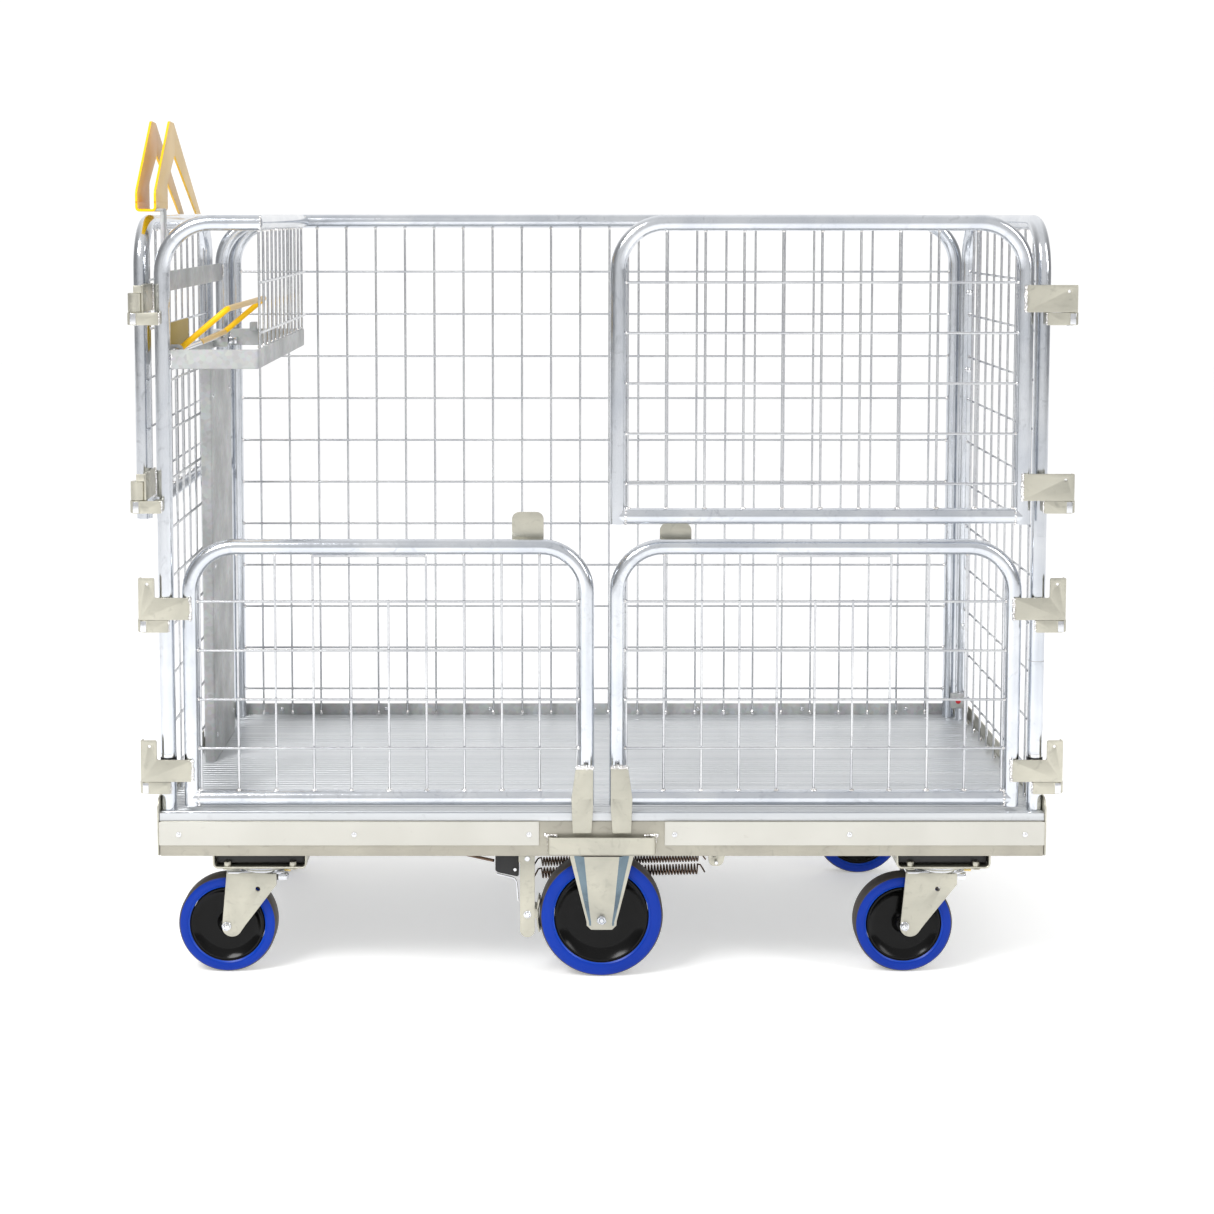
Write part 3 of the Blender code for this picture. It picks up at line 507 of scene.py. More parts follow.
    def nut(self, centre, across, height, axis, finish=None, turn=0.0):
        """A hexagon with chamfered corners, standing on centre along axis."""
        radius = across / math.sqrt(3)
        bm = bmesh.new()
        bmesh.ops.create_cone(bm, cap_ends=True, segments=6, radius1=radius, radius2=radius, depth=height)
        bmesh.ops.bevel(bm, geom=bm.edges, offset=height * 0.10, segments=2, profile=0.5, affect="EDGES")
        lift = Matrix.Translation((0, 0, height / 2)) @ Matrix.Rotation(turn, 4, "Z")
        self.take(bm, finish, Matrix.Translation(centre) @ along(axis) @ lift)

    def bolt_end(self, centre, size, axis, finish=None, turn=0.3):
        """A washer, a nut and the rounded end of its bolt."""
        step = Vector(axis).normalized()
        centre = Vector(centre)
        self.rod(centre, size * 1.05, size * 0.16, axis, finish)
        self.nut(centre + step * size * 0.16, size * 1.55, size * 0.75, axis, finish, turn)
        self.rod(centre + step * size * 0.85, size * 0.50, size * 0.42, axis, finish, 16, size * 0.12)

    def dome(self, centre, radius, height, axis, finish="bright"):
        """A rivet or screw head."""
        profile = [(0, 0), (radius, 0)]
        for step in range(6):
            angle = step * math.pi / 10
            profile.append((radius * math.cos(angle), height * math.sin(angle)))
        self.turned(profile, centre, axis, finish, 16)

    def bead(self, centre, size, stretch=(1, 1, 1)):
        """A lump of weld metal."""
        bm = bmesh.new()
        bmesh.ops.create_icosphere(bm, subdivisions=2, radius=1.0)
        seed = Vector((random.random(), random.random(), random.random())) * 9
        for vert in bm.verts:
            vert.co *= 1.0 + 0.30 * noise.noise(vert.co * 1.6 + seed)
        scale = Matrix.Diagonal((*[size * part for part in stretch], 1.0))
        self.take(bm, "bead", Matrix.Translation(centre) @ scale)

    def seam(self, start, end, size):
        """A run of weld beads between two points."""
        start, end = Vector(start), Vector(end)
        count = max(2, round((end - start).length / (size * 1.15)))
        for step in range(count + 1):
            spot = start.lerp(end, step / count)
            shift = Vector([random.uniform(-0.22, 0.22) * size for _ in range(3)])
            self.bead(spot + shift, size * random.uniform(0.75, 1.15))

    def seam_up(self, x, y, low, high, size):
        """An upright run of weld beads."""
        self.seam((x, y, low), (x, y, high), size)

    def repaint(self, finish, chosen):
        """Give another finish to the faces that the test picks."""
        self.bm.normal_update()
        for face in self.bm.faces:
            if chosen(face):
                face.material_index = self.finishes.index(finish)

    def finished(self, name, nodes=(), place=None, slot="zinc_plate", body="trolley"):
        """Make the piece, moved from the deck's middle to the frame's origin."""
        if place is not None:
            bmesh.ops.transform(self.bm, matrix=place, verts=self.bm.verts)
        bmesh.ops.translate(self.bm, vec=(0, AHEAD, 0), verts=self.bm.verts)
        mesh = bpy.data.meshes.new(name)
        self.bm.to_mesh(mesh)
        self.bm.free()
        mesh.shade_smooth()
        mesh.set_sharp_from_angle(angle=SHARP)
        for finish in self.finishes:
            mesh.materials.append(FINISH[finish])
        piece = bpy.data.objects.new(name, mesh)
        bpy.context.scene.collection.objects.link(piece)
        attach(piece, body)
        if nodes:
            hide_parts(*nodes)


MIRROR = Matrix.Scale(-1, 4, (1, 0, 0))


def mirrored(shape):
    """Flip a shape from the right side to the left."""
    bmesh.ops.transform(shape.bm, matrix=MIRROR, verts=shape.bm.verts)
    bmesh.ops.reverse_faces(shape.bm, faces=shape.bm.faces)


def mesh_wall(shape, columns, rows, low_of, high_of, left, right, middle=0.0):
    """Upright wires behind level ones, in the XZ plane at Y = middle."""
    for u in columns:
        shape.wire((u, middle + WIRE_R * 0.95, low_of(u)), (u, middle + WIRE_R * 0.95, high_of(u)))
    for z in rows:
        shape.wire((left, middle - WIRE_R * 0.95, z), (right, middle - WIRE_R * 0.95, z))


# ---- cage walls ------------------------------------------------------------------
def corner_height(u, half, radius, top):
    """Height of a bent tube's centre line over u, where its corners come down."""
    inner = half - radius
    if abs(u) <= inner:
        return top
    return top - radius + math.sqrt(max(0.0, radius ** 2 - (abs(u) - inner) ** 2))


def wall_panel(half, columns):
    """A bent tube with its welded mesh, upright in the XZ plane at Y = 0."""
    shape = Shape("tube", "wire", "bead", "bright")
    foot = DECK_TOP + GAP
    corners = [(-half, 0, foot), (-half, 0, CAGE_TOP), (half, 0, CAGE_TOP), (half, 0, foot)]
    shape.tube(bent(corners, CORNER))
    mesh_wall(
        shape, columns, WALL_ROWS, lambda u: foot + 0.003,
        lambda u: corner_height(u, half, CORNER, CAGE_TOP), -half, half,
    )
    for u in columns:
        under_tube = corner_height(u, half, CORNER, CAGE_TOP) - TUBE - 0.0005
        shape.bead((u, 0.0, under_tube), 0.0030, (1.2, 0.9, 1.0))
        shape.bead((u, 0.0005, foot + 0.0065), 0.0030, (1.0, 1.0, 1.6))
    for z in WALL_ROWS:
        for side in (-1, 1):
            shape.bead((side * (half - TUBE), -WIRE_R, z), 0.0031, (1.0, 1.0, 1.2))
    return shape


def build_back_panel():
    columns = [BACK_PITCH * (step + 0.5) for step in range(-12, 12)]
    shape = wall_panel(0.679, columns)
    shape.finished("back_wall", ["back_panel"], Matrix.Translation((0, BACK_Y, 0)), "zinc_tube")


def side_place(x):
    """Lay a panel made in XZ on an end wall, uprights outside."""
    return Matrix.Translation((x, SIDE_MID, 0)) @ Matrix.Rotation(math.pi / 2, 4, "Z")


def post_bolts(shape, heights):
    """Bolts through a rear post, seen from the load space; the shape lies in its own panel plane."""
    for z in heights:
        shape.dome((SIDE_HALF - TUBE + 0.001, 0.0, z), 0.0062, 0.0036, (-1, 0, 0))


def build_right_end():
    columns = [SIDE_PITCH * step for step in range(-4, 5)]
    shape = wall_panel(SIDE_HALF, columns)
    post_bolts(shape, (1.089, 0.944, 0.457, 0.318))
    shape.finished("right_wall", ["right_end_panel"], side_place(POST_X), "zinc_tube")


def build_left_end():
    shape = Shape("tube", "wire", "bead", "bright", "galvanised")
    foot = DECK_TOP + GAP
    for y in (-POST_Y, REAR_POST_Y):
        corners = [(-POST_X, y, foot), (-POST_X, y, CAGE_TOP), (BAY_X + TUBE * 0.7, y, CAGE_TOP)]
        shape.tube(bent(corners, CORNER))
        seam_x = BAY_X + TUBE * 0.7
        seam_y = y - TUBE * 0.75
        shape.seam_up(seam_x, seam_y, CAGE_TOP - 0.009, CAGE_TOP + 0.009, 0.0018)
    wall = Shape("wire", "bead")
    columns = [SIDE_PITCH * step for step in range(-4, 5)]
    rows = [z for z in WALL_ROWS if z < BAY_LOW + STRIP_HIGH]
    top = rows[0] + WIRE_R
    mesh_wall(wall, columns, rows, lambda u: foot + 0.003, lambda u: top, -SIDE_HALF, SIDE_HALF)
    for z in rows:
        for side in (-1, 1):
            wall.bead((side * (SIDE_HALF - TUBE), -WIRE_R, z), 0.0031, (1.0, 1.0, 1.2))
    wall.finished("left_wall_mesh", (), side_place(-POST_X), "zinc_tube")
    for low, high in ((BAR_Z - 0.016, BAR_Z + 0.016), (BAY_LOW + 0.002, BAY_LOW + 0.024)):
        shape.block(FLAT_X, (-POST_Y, REAR_POST_Y), (low, high), "galvanised", 0.0008)
    for y, step in ((-POST_Y + TUBE, 1), (REAR_POST_Y - TUBE, -1)):
        for z in (BAR_Z, BAY_LOW + 0.013):
            shape.seam_up(-POST_X + 0.003, y, z - 0.010, z + 0.012, 0.0028)
    for y in (HANDLE_Y - 0.012, HANDLE_Y + HANDLE_LONG + 0.004):
        corners = [(-POST_X + 0.001, BAY_LOW + 0.004), (LEVER_X + 0.011, BAY_LOW + 0.004)]
        corners += [(LEVER_X + 0.011, LEVER_Z + 0.011), (-POST_X + 0.001, LEVER_Z + 0.011)]
        bore = hole_ring((LEVER_X, LEVER_Z), 0.0060, 24)
        outline = rounded(corners, [0.002, 0.004, 0.009, 0.002])
        shape.plate(outline, 0.008, "galvanised", upright(y + 0.004), holes=[bore])
    for z in (0.769, 0.452, 0.318):
        shape.dome((-POST_X, REAR_POST_Y - TUBE + 0.001, z), 0.0062, 0.0036, FORWARD)
    shape.finished("left_wall", ["left_end_panel"], slot="zinc_tube")


def build_bay_wall():
    shape = Shape("tube", "wire", "bead")
    front, back = -POST_Y, BACK_Y - TUBE - 0.002
    shape.tube([(BAY_X, front, CAGE_TOP), (BAY_X, back, CAGE_TOP)], TUBE * 0.99)
    pitch = 0.0522
    columns = [pitch * (step + 0.5) - 0.010 for step in range(-6, 6)]
    for y in columns:
        x = BAY_X + WIRE_R
        shape.wire((x, y, BAY_LOW + STRIP_HIGH + GAP), (x, y, CAGE_TOP))
        shape.bead((x, y, CAGE_TOP - TUBE), 0.0030)
        shape.bead((x - 0.001, y, BAY_LOW + STRIP_HIGH + 0.0025), 0.0026)
    for z in (ROW_TOP, ROW_TOP - ROW_PITCH):
        x = BAY_X + WIRE_R * 3
        shape.wire((x, columns[0] - 0.008, z), (x, columns[-1] + 0.008, z))
    shape.finished("bay_wall", ["handle_bay_wall"], slot="zinc_tube")

    shape = Shape("galvanised", "bead", "bright")
    thick = 0.004
    outer = -POST_X + TUBE + GAP
    path = [(outer, -POST_Y - thick / 2, 0), (BAY_X + thick / 2, -POST_Y - thick / 2, 0)]
    path += [(BAY_X + thick / 2, REAR_POST_Y + thick / 2, 0), (outer, REAR_POST_Y + thick / 2, 0)]
    strip_band(shape, bent(path, 0.006, 5), thick, (BAY_LOW, BAY_LOW + STRIP_HIGH), "galvanised")
    for y in (-POST_Y - thick / 2, REAR_POST_Y + thick / 2):
        seam_x = outer + 0.001
        shape.seam_up(seam_x, y, BAY_LOW + 0.003, BAY_LOW + STRIP_HIGH - 0.003, 0.0026)
    clip_y = REAR_POST_Y - 0.020
    clip_x = (BAY_X - 0.096, BAY_X - 0.084)
    shape.block(clip_x, (clip_y, clip_y + 0.022), (BAY_LOW + 0.028, BAY_LOW + 0.044), "galvanised", 0.001)
    latch_x = (outer + 0.001, outer + 0.016)
    shape.block(latch_x, (clip_y, clip_y + 0.022), (BAY_LOW + 0.004, BAY_LOW + 0.016), "bright", 0.001)
    shape.finished("bay_band", ["bay_strip"])


def strip_band(shape, path, thick, heights, finish):
    """A flat strip standing on edge along a path of level points."""
    bm = bmesh.new()
    rings = []
    count = len(path)
    soft = thick * 0.22
    low, high = heights
    for at, point in enumerate(path):
        before = path[max(at - 1, 0)]
        after = path[min(at + 1, count - 1)]
        run = (after - before).normalized()
        side = Vector((run.y, -run.x, 0.0))
        half = thick / 2
        section = [(half - soft, low), (half, low + soft), (half, high - soft), (half - soft, high)]
        section += [(-half + soft, high), (-half, high - soft), (-half, low + soft), (-half + soft, low)]
        rings.append([bm.verts.new(point + side * out + Vector((0, 0, z))) for out, z in section])
    sides = len(rings[0])
    for first, second in zip(rings, rings[1:]):
        for step in range(sides):
            turn = (step + 1) % sides
            bm.faces.new((first[step], second[step], second[turn], first[turn]))
    bm.faces.new(rings[0])
    bm.faces.new(list(reversed(rings[-1])))
    bmesh.ops.recalc_face_normals(bm, faces=bm.faces)
    shape.take(bm, finish)


def build_linkage_cover():
    shape = Shape("galvanised", "bright")
    front, back = -0.024, 0.205
    outer, inner = -POST_X + 0.010, -POST_X + 0.028
    casing_top = 0.968
    path = [(outer, front + 0.001, 0), (inner - 0.001, front + 0.001, 0)]
    path += [(inner - 0.001, back - 0.001, 0), (outer, back - 0.001, 0)]
    strip_band(shape, bent(path, 0.0035, 4), 0.002, (DECK_TOP + GAP, casing_top), "galvanised")
    for z in (0.32, 0.62, 0.92):
        for y in (front + 0.022, back - 0.022):
            shape.dome((inner, y, z), 0.0045, 0.0018, (1, 0, 0))
    shape.finished("linkage_casing", ["linkage_cover"])


def build_post_trim():
    """Collars on the front posts and the small catches by the rear posts."""
    shape = Shape("black", "bright", "galvanised", "red")
    for side in (-1, 1):
        foot = (side * POST_X, -POST_Y, 0.354)
        shape.rod(foot, TUBE + 0.0006, 0.009, (0, 0, 1), "black", 40)
        shape.rod((foot[0], foot[1], 0.3632), TUBE + 0.0004, 0.006, (0, 0, 1), "bright", 40)
    shape.rod((POST_X, -POST_Y, 0.5195), TUBE + 0.0003, 0.0012, (0, 0, 1), "galvanised", 40, 0.0003)
    catch_y = (REAR_POST_Y - TUBE - 0.012, REAR_POST_Y - TUBE + 0.001)
    shape.block((0.675, 0.702), catch_y, (0.302, 0.330), "galvanised", 0.0015)
    shape.dome((0.688, catch_y[0], 0.316), 0.0050, 0.0022, FORWARD, "red")
    shape.block((-0.704, -0.684), catch_y, (0.732, 0.750), "galvanised", 0.0015)
    shape.finished("post_trim")


# ---- doors -----------------------------------------------------------------------
def leaf(shape, stile, low, body, finger):
    """The door's half of a hinge, with the door towards -X of the hinge axis.

    body is the plate's height. finger is the height at its outer end, where it may rise higher.
    """
    body_top = low + body
    finger_top = low + finger
    face = -KNUCKLE
    outline = [(-stile - 0.004, low), (0.010, low), (0.010, finger_top)]
    radii = [0.0015, 0.0008, 0.0015]
    if finger > body:
        outline += [(-0.016, finger_top), (-0.016, body_top)]
        radii += [0.003, 0.0025]
    outline.append((-stile - 0.004, body_top))
    radii.append(0.0015)
    hole = hole_ring((-0.004, finger_top - 0.010), 0.0024, 18)
    place = upright(face + SHEET / 2)
    shape.plate(rounded(outline, radii), SHEET, "plate", place, 0.0006, [hole])
    tip_heights = (low + BARREL_HIGH + 0.0005, finger_top - 0.001)
    shape.block((0.0074, 0.0100), (face + 0.0004, face + 0.0155), tip_heights, "plate")
    root_heights = (low + 0.002, body_top - 0.002)
    shape.block((-stile - 0.003, -stile + 0.004), (face + 0.001, 0.003), root_heights, "plate")
    bore, outside = PIN + 0.0012, KNUCKLE - 0.001
    soft = 0.0008
    barrel = [(bore, 0), (outside - soft, 0), (outside, soft), (outside, BARREL_HIGH - soft)]
    barrel += [(outside - soft, BARREL_HIGH), (bore, BARREL_HIGH)]
    shape.turned(barrel, (0, 0, low), (0, 0, 1), "plate", 28, closed=True)
    weld_x = -stile - 0.0035
    shape.seam_up(weld_x, face + 0.0008, low + 0.002, body_top - 0.002, 0.0031)


def build_bracket(name, sign, top, axis):
    """The post's half of a hinge: a strip, a web back to the post, a rolled knuckle and the pin."""
    shape = Shape("plate", "bead", "bright")
    low = top - BRACKET_HIGH
    corners = [(-0.037, low), (-0.004, low), (-0.004, top), (-0.037, top)]
    outline = rounded(corners, [0.0015, 0.0, 0.0, 0.0015])
    place = upright(-KNUCKLE + SHEET / 2)
    shape.plate(outline, SHEET, "plate", place)
    post_face = -POST_Y - TUBE - axis[1] - GAP
    shape.block((-0.037, -0.024), (-KNUCKLE + 0.001, post_face), (low + 0.001, top - 0.001), "plate")
    soft = 0.0010
    knuckle = [(PIN, 0), (KNUCKLE - soft, 0), (KNUCKLE, soft)]
    knuckle += [(KNUCKLE, BRACKET_HIGH - soft), (KNUCKLE - soft, BRACKET_HIGH), (PIN, BRACKET_HIGH)]
    shape.turned(knuckle, (0, 0, low), (0, 0, 1), "plate", 32, closed=True)
    # A bright strip on the knuckle's front: painted highlight.
    painted_glint_y = (-KNUCKLE - 0.0004, -KNUCKLE + 0.0020)
    shape.block((-KNUCKLE * 0.15, KNUCKLE * 0.55), painted_glint_y, (low + 0.0012, top - 0.0012), "bright", 0.0008)
    shape.rod((0, 0, low + 0.002), PIN, top - low + 0.026, (0, 0, 1), "bright", 20)
    shape.rod((0, 0, low - 0.0012), PIN + 0.0016, 0.0030, (0, 0, 1), "bright", 20)
    shape.seam_up(-0.0375, -KNUCKLE + 0.003, low + 0.002, top - 0.002, 0.0020)
    if sign < 0:
        mirrored(shape)
    place = Matrix.Translation((sign * axis[0], axis[1], 0))
    shape.finished(name + "_fitting", [name], place)


def build_door(
    name, sign, axis, heights, outer, mesh_rows, leaves, window=None, tab_top=None, opened=False
):
    """A bent-tube door with its mesh, laid out from its hinge axis with the door towards -X."""
    shape = Shape("tube", "wire", "bead", "plate", "bright")
    low, high = heights
    axis_x, axis_y = axis
    far = -axis_x + DOOR_GAP + TUBE
    near = -(axis_x - outer) - TUBE
    door_y = DOOR_SET
    corners = [(near, door_y, low - TUBE), (near, door_y, high)]
    corners += [(far, door_y, high), (far, door_y, low - TUBE)]
    shape.tube(bent(corners, DOOR_CORNER))
    shape.tube([(near, door_y, low), (far, door_y, low)], TUBE * 0.998)

    pitch = (near - far - 2 * DOOR_MARGIN) / (DOOR_COLUMNS - 1)
    places = [far + DOOR_MARGIN + pitch * step for step in range(DOOR_COLUMNS)]
    first_row, row_count = mesh_rows
    rows = [first_row - DOOR_ROW_PITCH * row for row in range(row_count)]
    cut = [u for u in places if window and window[0] < (u - far) / (near - far) < window[1]]
    middle, half = (near + far) / 2, (near - far) / 2

    def top_of(u):
        return rows[0] + WIRE_R if u in cut else corner_height(u - middle, half, DOOR_CORNER, high)

    mesh_wall(shape, places, rows, lambda u: low, top_of, far, near, door_y)
    for u in places:
        if u not in cut:
            shape.bead((u, door_y, top_of(u) - TUBE), 0.0028)
        size = 0.0030 + 0.0012 * random.random()
        shape.bead((u, door_y - 0.002, low + TUBE - 0.0005), size, (1.3, 1.0, 0.8))
    for z in rows:
        for side in (near - TUBE, far + TUBE):
            shape.bead((side, door_y - WIRE_R, z), 0.0029)
    for side, inward in ((near, -1), (far, 1)):
        for step in range(7):
            angle = math.pi * step / 6 - math.pi / 2
            y = door_y - TUBE * 0.92 * math.cos(angle)
            shape.bead((side + inward * TUBE * 0.97, y, low + TUBE * math.sin(angle)), 0.0026)
    if cut:
        left, right = cut[0] - pitch, cut[-1] + pitch
        lintel_z = high - 0.014
        shape.sweep([(left, door_y, lintel_z), (right, door_y, lintel_z)], 0.0030, "wire", 12)
    leaf_lows, leaf_size = leaves
    for leaf_low in leaf_lows:
        leaf(shape, -near, leaf_low, *leaf_size)
    if tab_top:
        tab_back = door_y + TUBE + TAB_CLEAR + UPPER_AXIS[0] - axis_x
        catch_tab(shape, -axis_x + TAB_X, high, tab_top, tab_back)
        foot_plate(shape, far, low, door_y)
    if sign < 0:
        mirrored(shape)
    turn = Matrix.Rotation(math.pi / 2, 4, "Z") if opened else Matrix.Identity(4)
    place = Matrix.Translation((sign * axis_x, axis_y, 0)) @ turn
    shape.finished(name + "_assembly", [name], place, "zinc_tube", name)


def catch_tab(shape, u, rail_z, top, back):
    """A plate bent over the top rail, which the door above closes against."""
    half = 0.0255
    radius = min(0.012, top - rail_z - TUBE - 0.004)
    outline = [(u - half, rail_z), (u + half, rail_z)]
    outline += arc((u + half - radius, top - radius), radius, 0, 90, 8)
    outline += arc((u - half + radius, top - radius), radius, 90, 180, 8)
    shape.plate(outline, SHEET, "plate", upright(back + SHEET / 2))
    web_x = (u - half + 0.002, u + half - 0.002)
    shape.block(web_x, (back - 0.010, back + 0.001), (rail_z + 0.001, rail_z + 0.009), "plate")
    for side in (-1, 1):
        x = u + side * (half - 0.001)
        shape.seam((x, back - 0.007, rail_z + 0.009), (x, back, rail_z + 0.007), 0.0020)


def foot_plate(shape, far, low, door_y):
    """A tapered plate on the closing stile that ends just above the keeper strap."""
    front = -BASE_Y - 0.0050 - LOWER_AXIS[1]
    top = 0.351
    outer = far - TUBE + 0.001
    outline = [(outer + 0.004, FOOT_END), (outer + 0.034, FOOT_END), (outer + 0.036, low + 0.005)]
    outline += [(outer + 0.029, top), (outer + 0.001, top), (outer + 0.001, low - 0.01)]
    radii = [0.002, 0.002, 0.012, 0.002, 0.002, 0.010]
    holes = [hole_ring((outer + 0.006, 0.300), 0.0013, 12)]
    shape.plate(rounded(outline, radii), SHEET, "plate", upright(front + SHEET / 2), 0.0007, holes)
    web_y = (front + 0.001, door_y - 0.006)
    shape.block((outer + 0.003, outer + 0.024), web_y, (low - 0.010, top - 0.001), "plate")
    shape.seam((outer + 0.002, front + 0.001, top), (outer + 0.028, front + 0.001, top), 0.0030)
    seam_y, seam_z = front + 0.005, top + 0.001
    shape.seam((outer + 0.004, seam_y, seam_z), (outer + 0.025, seam_y, seam_z), 0.0034)


def build_doors():
    upper_rows = (UPPER_DOOR_Z[1] - UPPER_ROW_DROP, 5)
    lower_rows = (LOWER_DOOR_Z[1] - LOWER_ROW_DROP, 4)
    upper = (UPPER_AXIS, UPPER_DOOR_Z, UPPER_OUTER, upper_rows, (UPPER_LEAVES, (0.043, 0.043)))
    lower = (LOWER_AXIS, LOWER_DOOR_Z, LOWER_OUTER, lower_rows, (LOWER_LEAVES, (0.036, 0.068)))
    build_door("upper_right_door", 1, *upper)
    build_door("upper_left_door", -1, *upper, opened=True)
    build_door("lower_right_door", 1, *lower, window=DOOR_WINDOW, tab_top=0.740)
    build_door("lower_left_door", -1, *lower, window=DOOR_WINDOW, tab_top=0.758)
    for side, sign in (("right", 1), ("left", -1)):
        for level, top in zip(("bottom", "lower"), LOWER_LEAVES):
            build_bracket(f"hinge_bracket_{side}_{level}", sign, top - GAP, LOWER_AXIS)
        for level, top in zip(("middle", "top"), UPPER_LEAVES):
            build_bracket(f"hinge_bracket_{side}_{level}", sign, top - GAP, UPPER_AXIS)


# ---- base ------------------------------------------------------------------------
def build_base():
    shape = Shape("rail", "bead")
    beam = 0.032
    heights = (FRAME_LOW, UNDER_DECK)
    shape.block((-BASE_X, BASE_X), (-BASE_Y, -BASE_Y + beam), heights, "rail", 0.0030)
    shape.block((-BASE_X, BASE_X), (BASE_Y - beam, BASE_Y), heights, "rail", 0.0030)
    end = BASE_X - beam / 2
    inner = SWIVEL_X - 0.12
    beam_y = (-BASE_Y + beam / 2, BASE_Y - beam / 2)
    for x in (-end, -inner, 0.0, inner, end):
        shape.block((x - beam / 2, x + beam / 2), beam_y, heights, "rail", 0.0020)
        for y in (-BASE_Y + beam, BASE_Y - beam):
            shape.seam((x - beam / 2, y, FRAME_LOW + 0.002), (x + beam / 2, y, FRAME_LOW + 0.002), 0.0030)
    shape.finished("chassis", ["base_frame"])

    planks = 4
    deck_front = -BASE_Y + 0.003
    deck_back = BASE_Y - 0.009
    width = (deck_back - deck_front) / planks
    for plank in range(planks):
        shape = Shape("deck")
        front = deck_front + plank * width
        thick = 0.013
        back = front + width - GAP
        outline = [(front, DECK_TOP - thick), (back, DECK_TOP - thick), (back, DECK_TOP - 0.001)]
        outline.append((front + width - 0.0016, DECK_TOP))
        ribs = 12
        for rib in reversed(range(ribs)):
            groove = front + (rib + 0.5) * width / ribs
            outline += [(groove + 0.0013, DECK_TOP), (groove + 0.0008, DECK_TOP - 0.0008)]
            outline += [(groove - 0.0008, DECK_TOP - 0.0008), (groove - 0.0013, DECK_TOP)]
        outline += [(front + 0.0016, DECK_TOP), (front, DECK_TOP - 0.001)]
        shape.plate(outline, 2 * (BASE_X - GAP), "deck", YZ, 0.0)
        node = f"deck_plank_{plank + 1}"
        shape.finished(f"deck_board_{plank + 1}", [node], slot="deck_aluminium")

    cover_low = 0.224
    front = -BASE_Y - GAP
    for side, sign in (("left", -1), ("right", 1)):
        shape = Shape("cover", "bright")
        near, far = sorted((sign * 0.101, sign * BASE_X))
        cover_top = UNDER_DECK - GAP
        corners = [(near, cover_low), (far, cover_low), (far, cover_top), (near, cover_top)]
        shape.plate(rounded(corners, 0.0012, 3), SHEET, "cover", upright(front - SHEET / 2), 0.0009)
        for x in (0.117, 0.398, 0.680):
            face = front - SHEET
            shape.rod((sign * x, face - 0.0003, 0.242), 0.0042, 0.0006, FORWARD, "bright", soft=0.0002)
            shape.dome((sign * x, face - 0.0006, 0.242), 0.0030, 0.0014, FORWARD)
        shape.finished(f"cover_strip_{side}", [f"front_cover_{side}"], slot="cream_cover")

        shape = Shape("plate", "bright")
        skirt_top = 0.300
        outline = [(BASE_Y, FRAME_LOW), (BASE_Y, skirt_top), (-BASE_Y, skirt_top), (-BASE_Y, FRAME_LOW)]
        place = Matrix.Translation((sign * (BASE_X + GAP + SHEET / 2), 0, 0)) @ YZ
        shape.plate(rounded(outline, [0.006, 0.020, 0.020, 0.006], 8), SHEET, "plate", place, 0.0010)
        for y in (-0.270, -0.090, 0.090, 0.270):
            x = sign * (BASE_X + GAP + SHEET - 0.0004)
            shape.dome((x, y, 0.234), 0.0050, 0.0022, (sign, 0, 0))
        shape.finished(f"skirt_{side}", [f"end_skirt_{side}"])

    shape = Shape("galvanised", "bright")
    sill_x = BASE_X - 0.02
    sill_y = (BASE_Y - 0.0085, BASE_Y - 0.0055)
    shape.block((-sill_x, sill_x), sill_y, (DECK_TOP - 0.013, 0.297), "galvanised", 0.0008)
    for step in range(-3, 4):
        shape.dome((step * 0.2, BASE_Y - 0.0085, 0.286), 0.0040, 0.0018, FORWARD)
    shape.finished("rear_sill", ["back_sill"])

    shape = Shape("plate", "bead")
    strap_x = 0.087
    reach = 0.012
    radius = 0.0075
    outer = front - reach - SHEET / 2
    path = [(-strap_x + 0.0015, front, 0), (-strap_x + 0.0015, outer, 0)]
    path += [(strap_x - 0.0015, outer, 0), (strap_x - 0.0015, front, 0)]
    strip_band(shape, bent(path, radius, 6), SHEET, (0.212, 0.240), "plate")
    for side in (-1, 1):
        x = side * (strap_x - 0.006)
        shape.seam((x - 0.010, front - 0.003, 0.2405), (x + 0.008, front - 0.003, 0.2405), 0.0032)
        x = side * (strap_x - 0.001)
        shape.seam_up(x, front - 0.002, 0.214, 0.238, 0.0022)
    shape.finished("keeper", ["keeper_strap"])


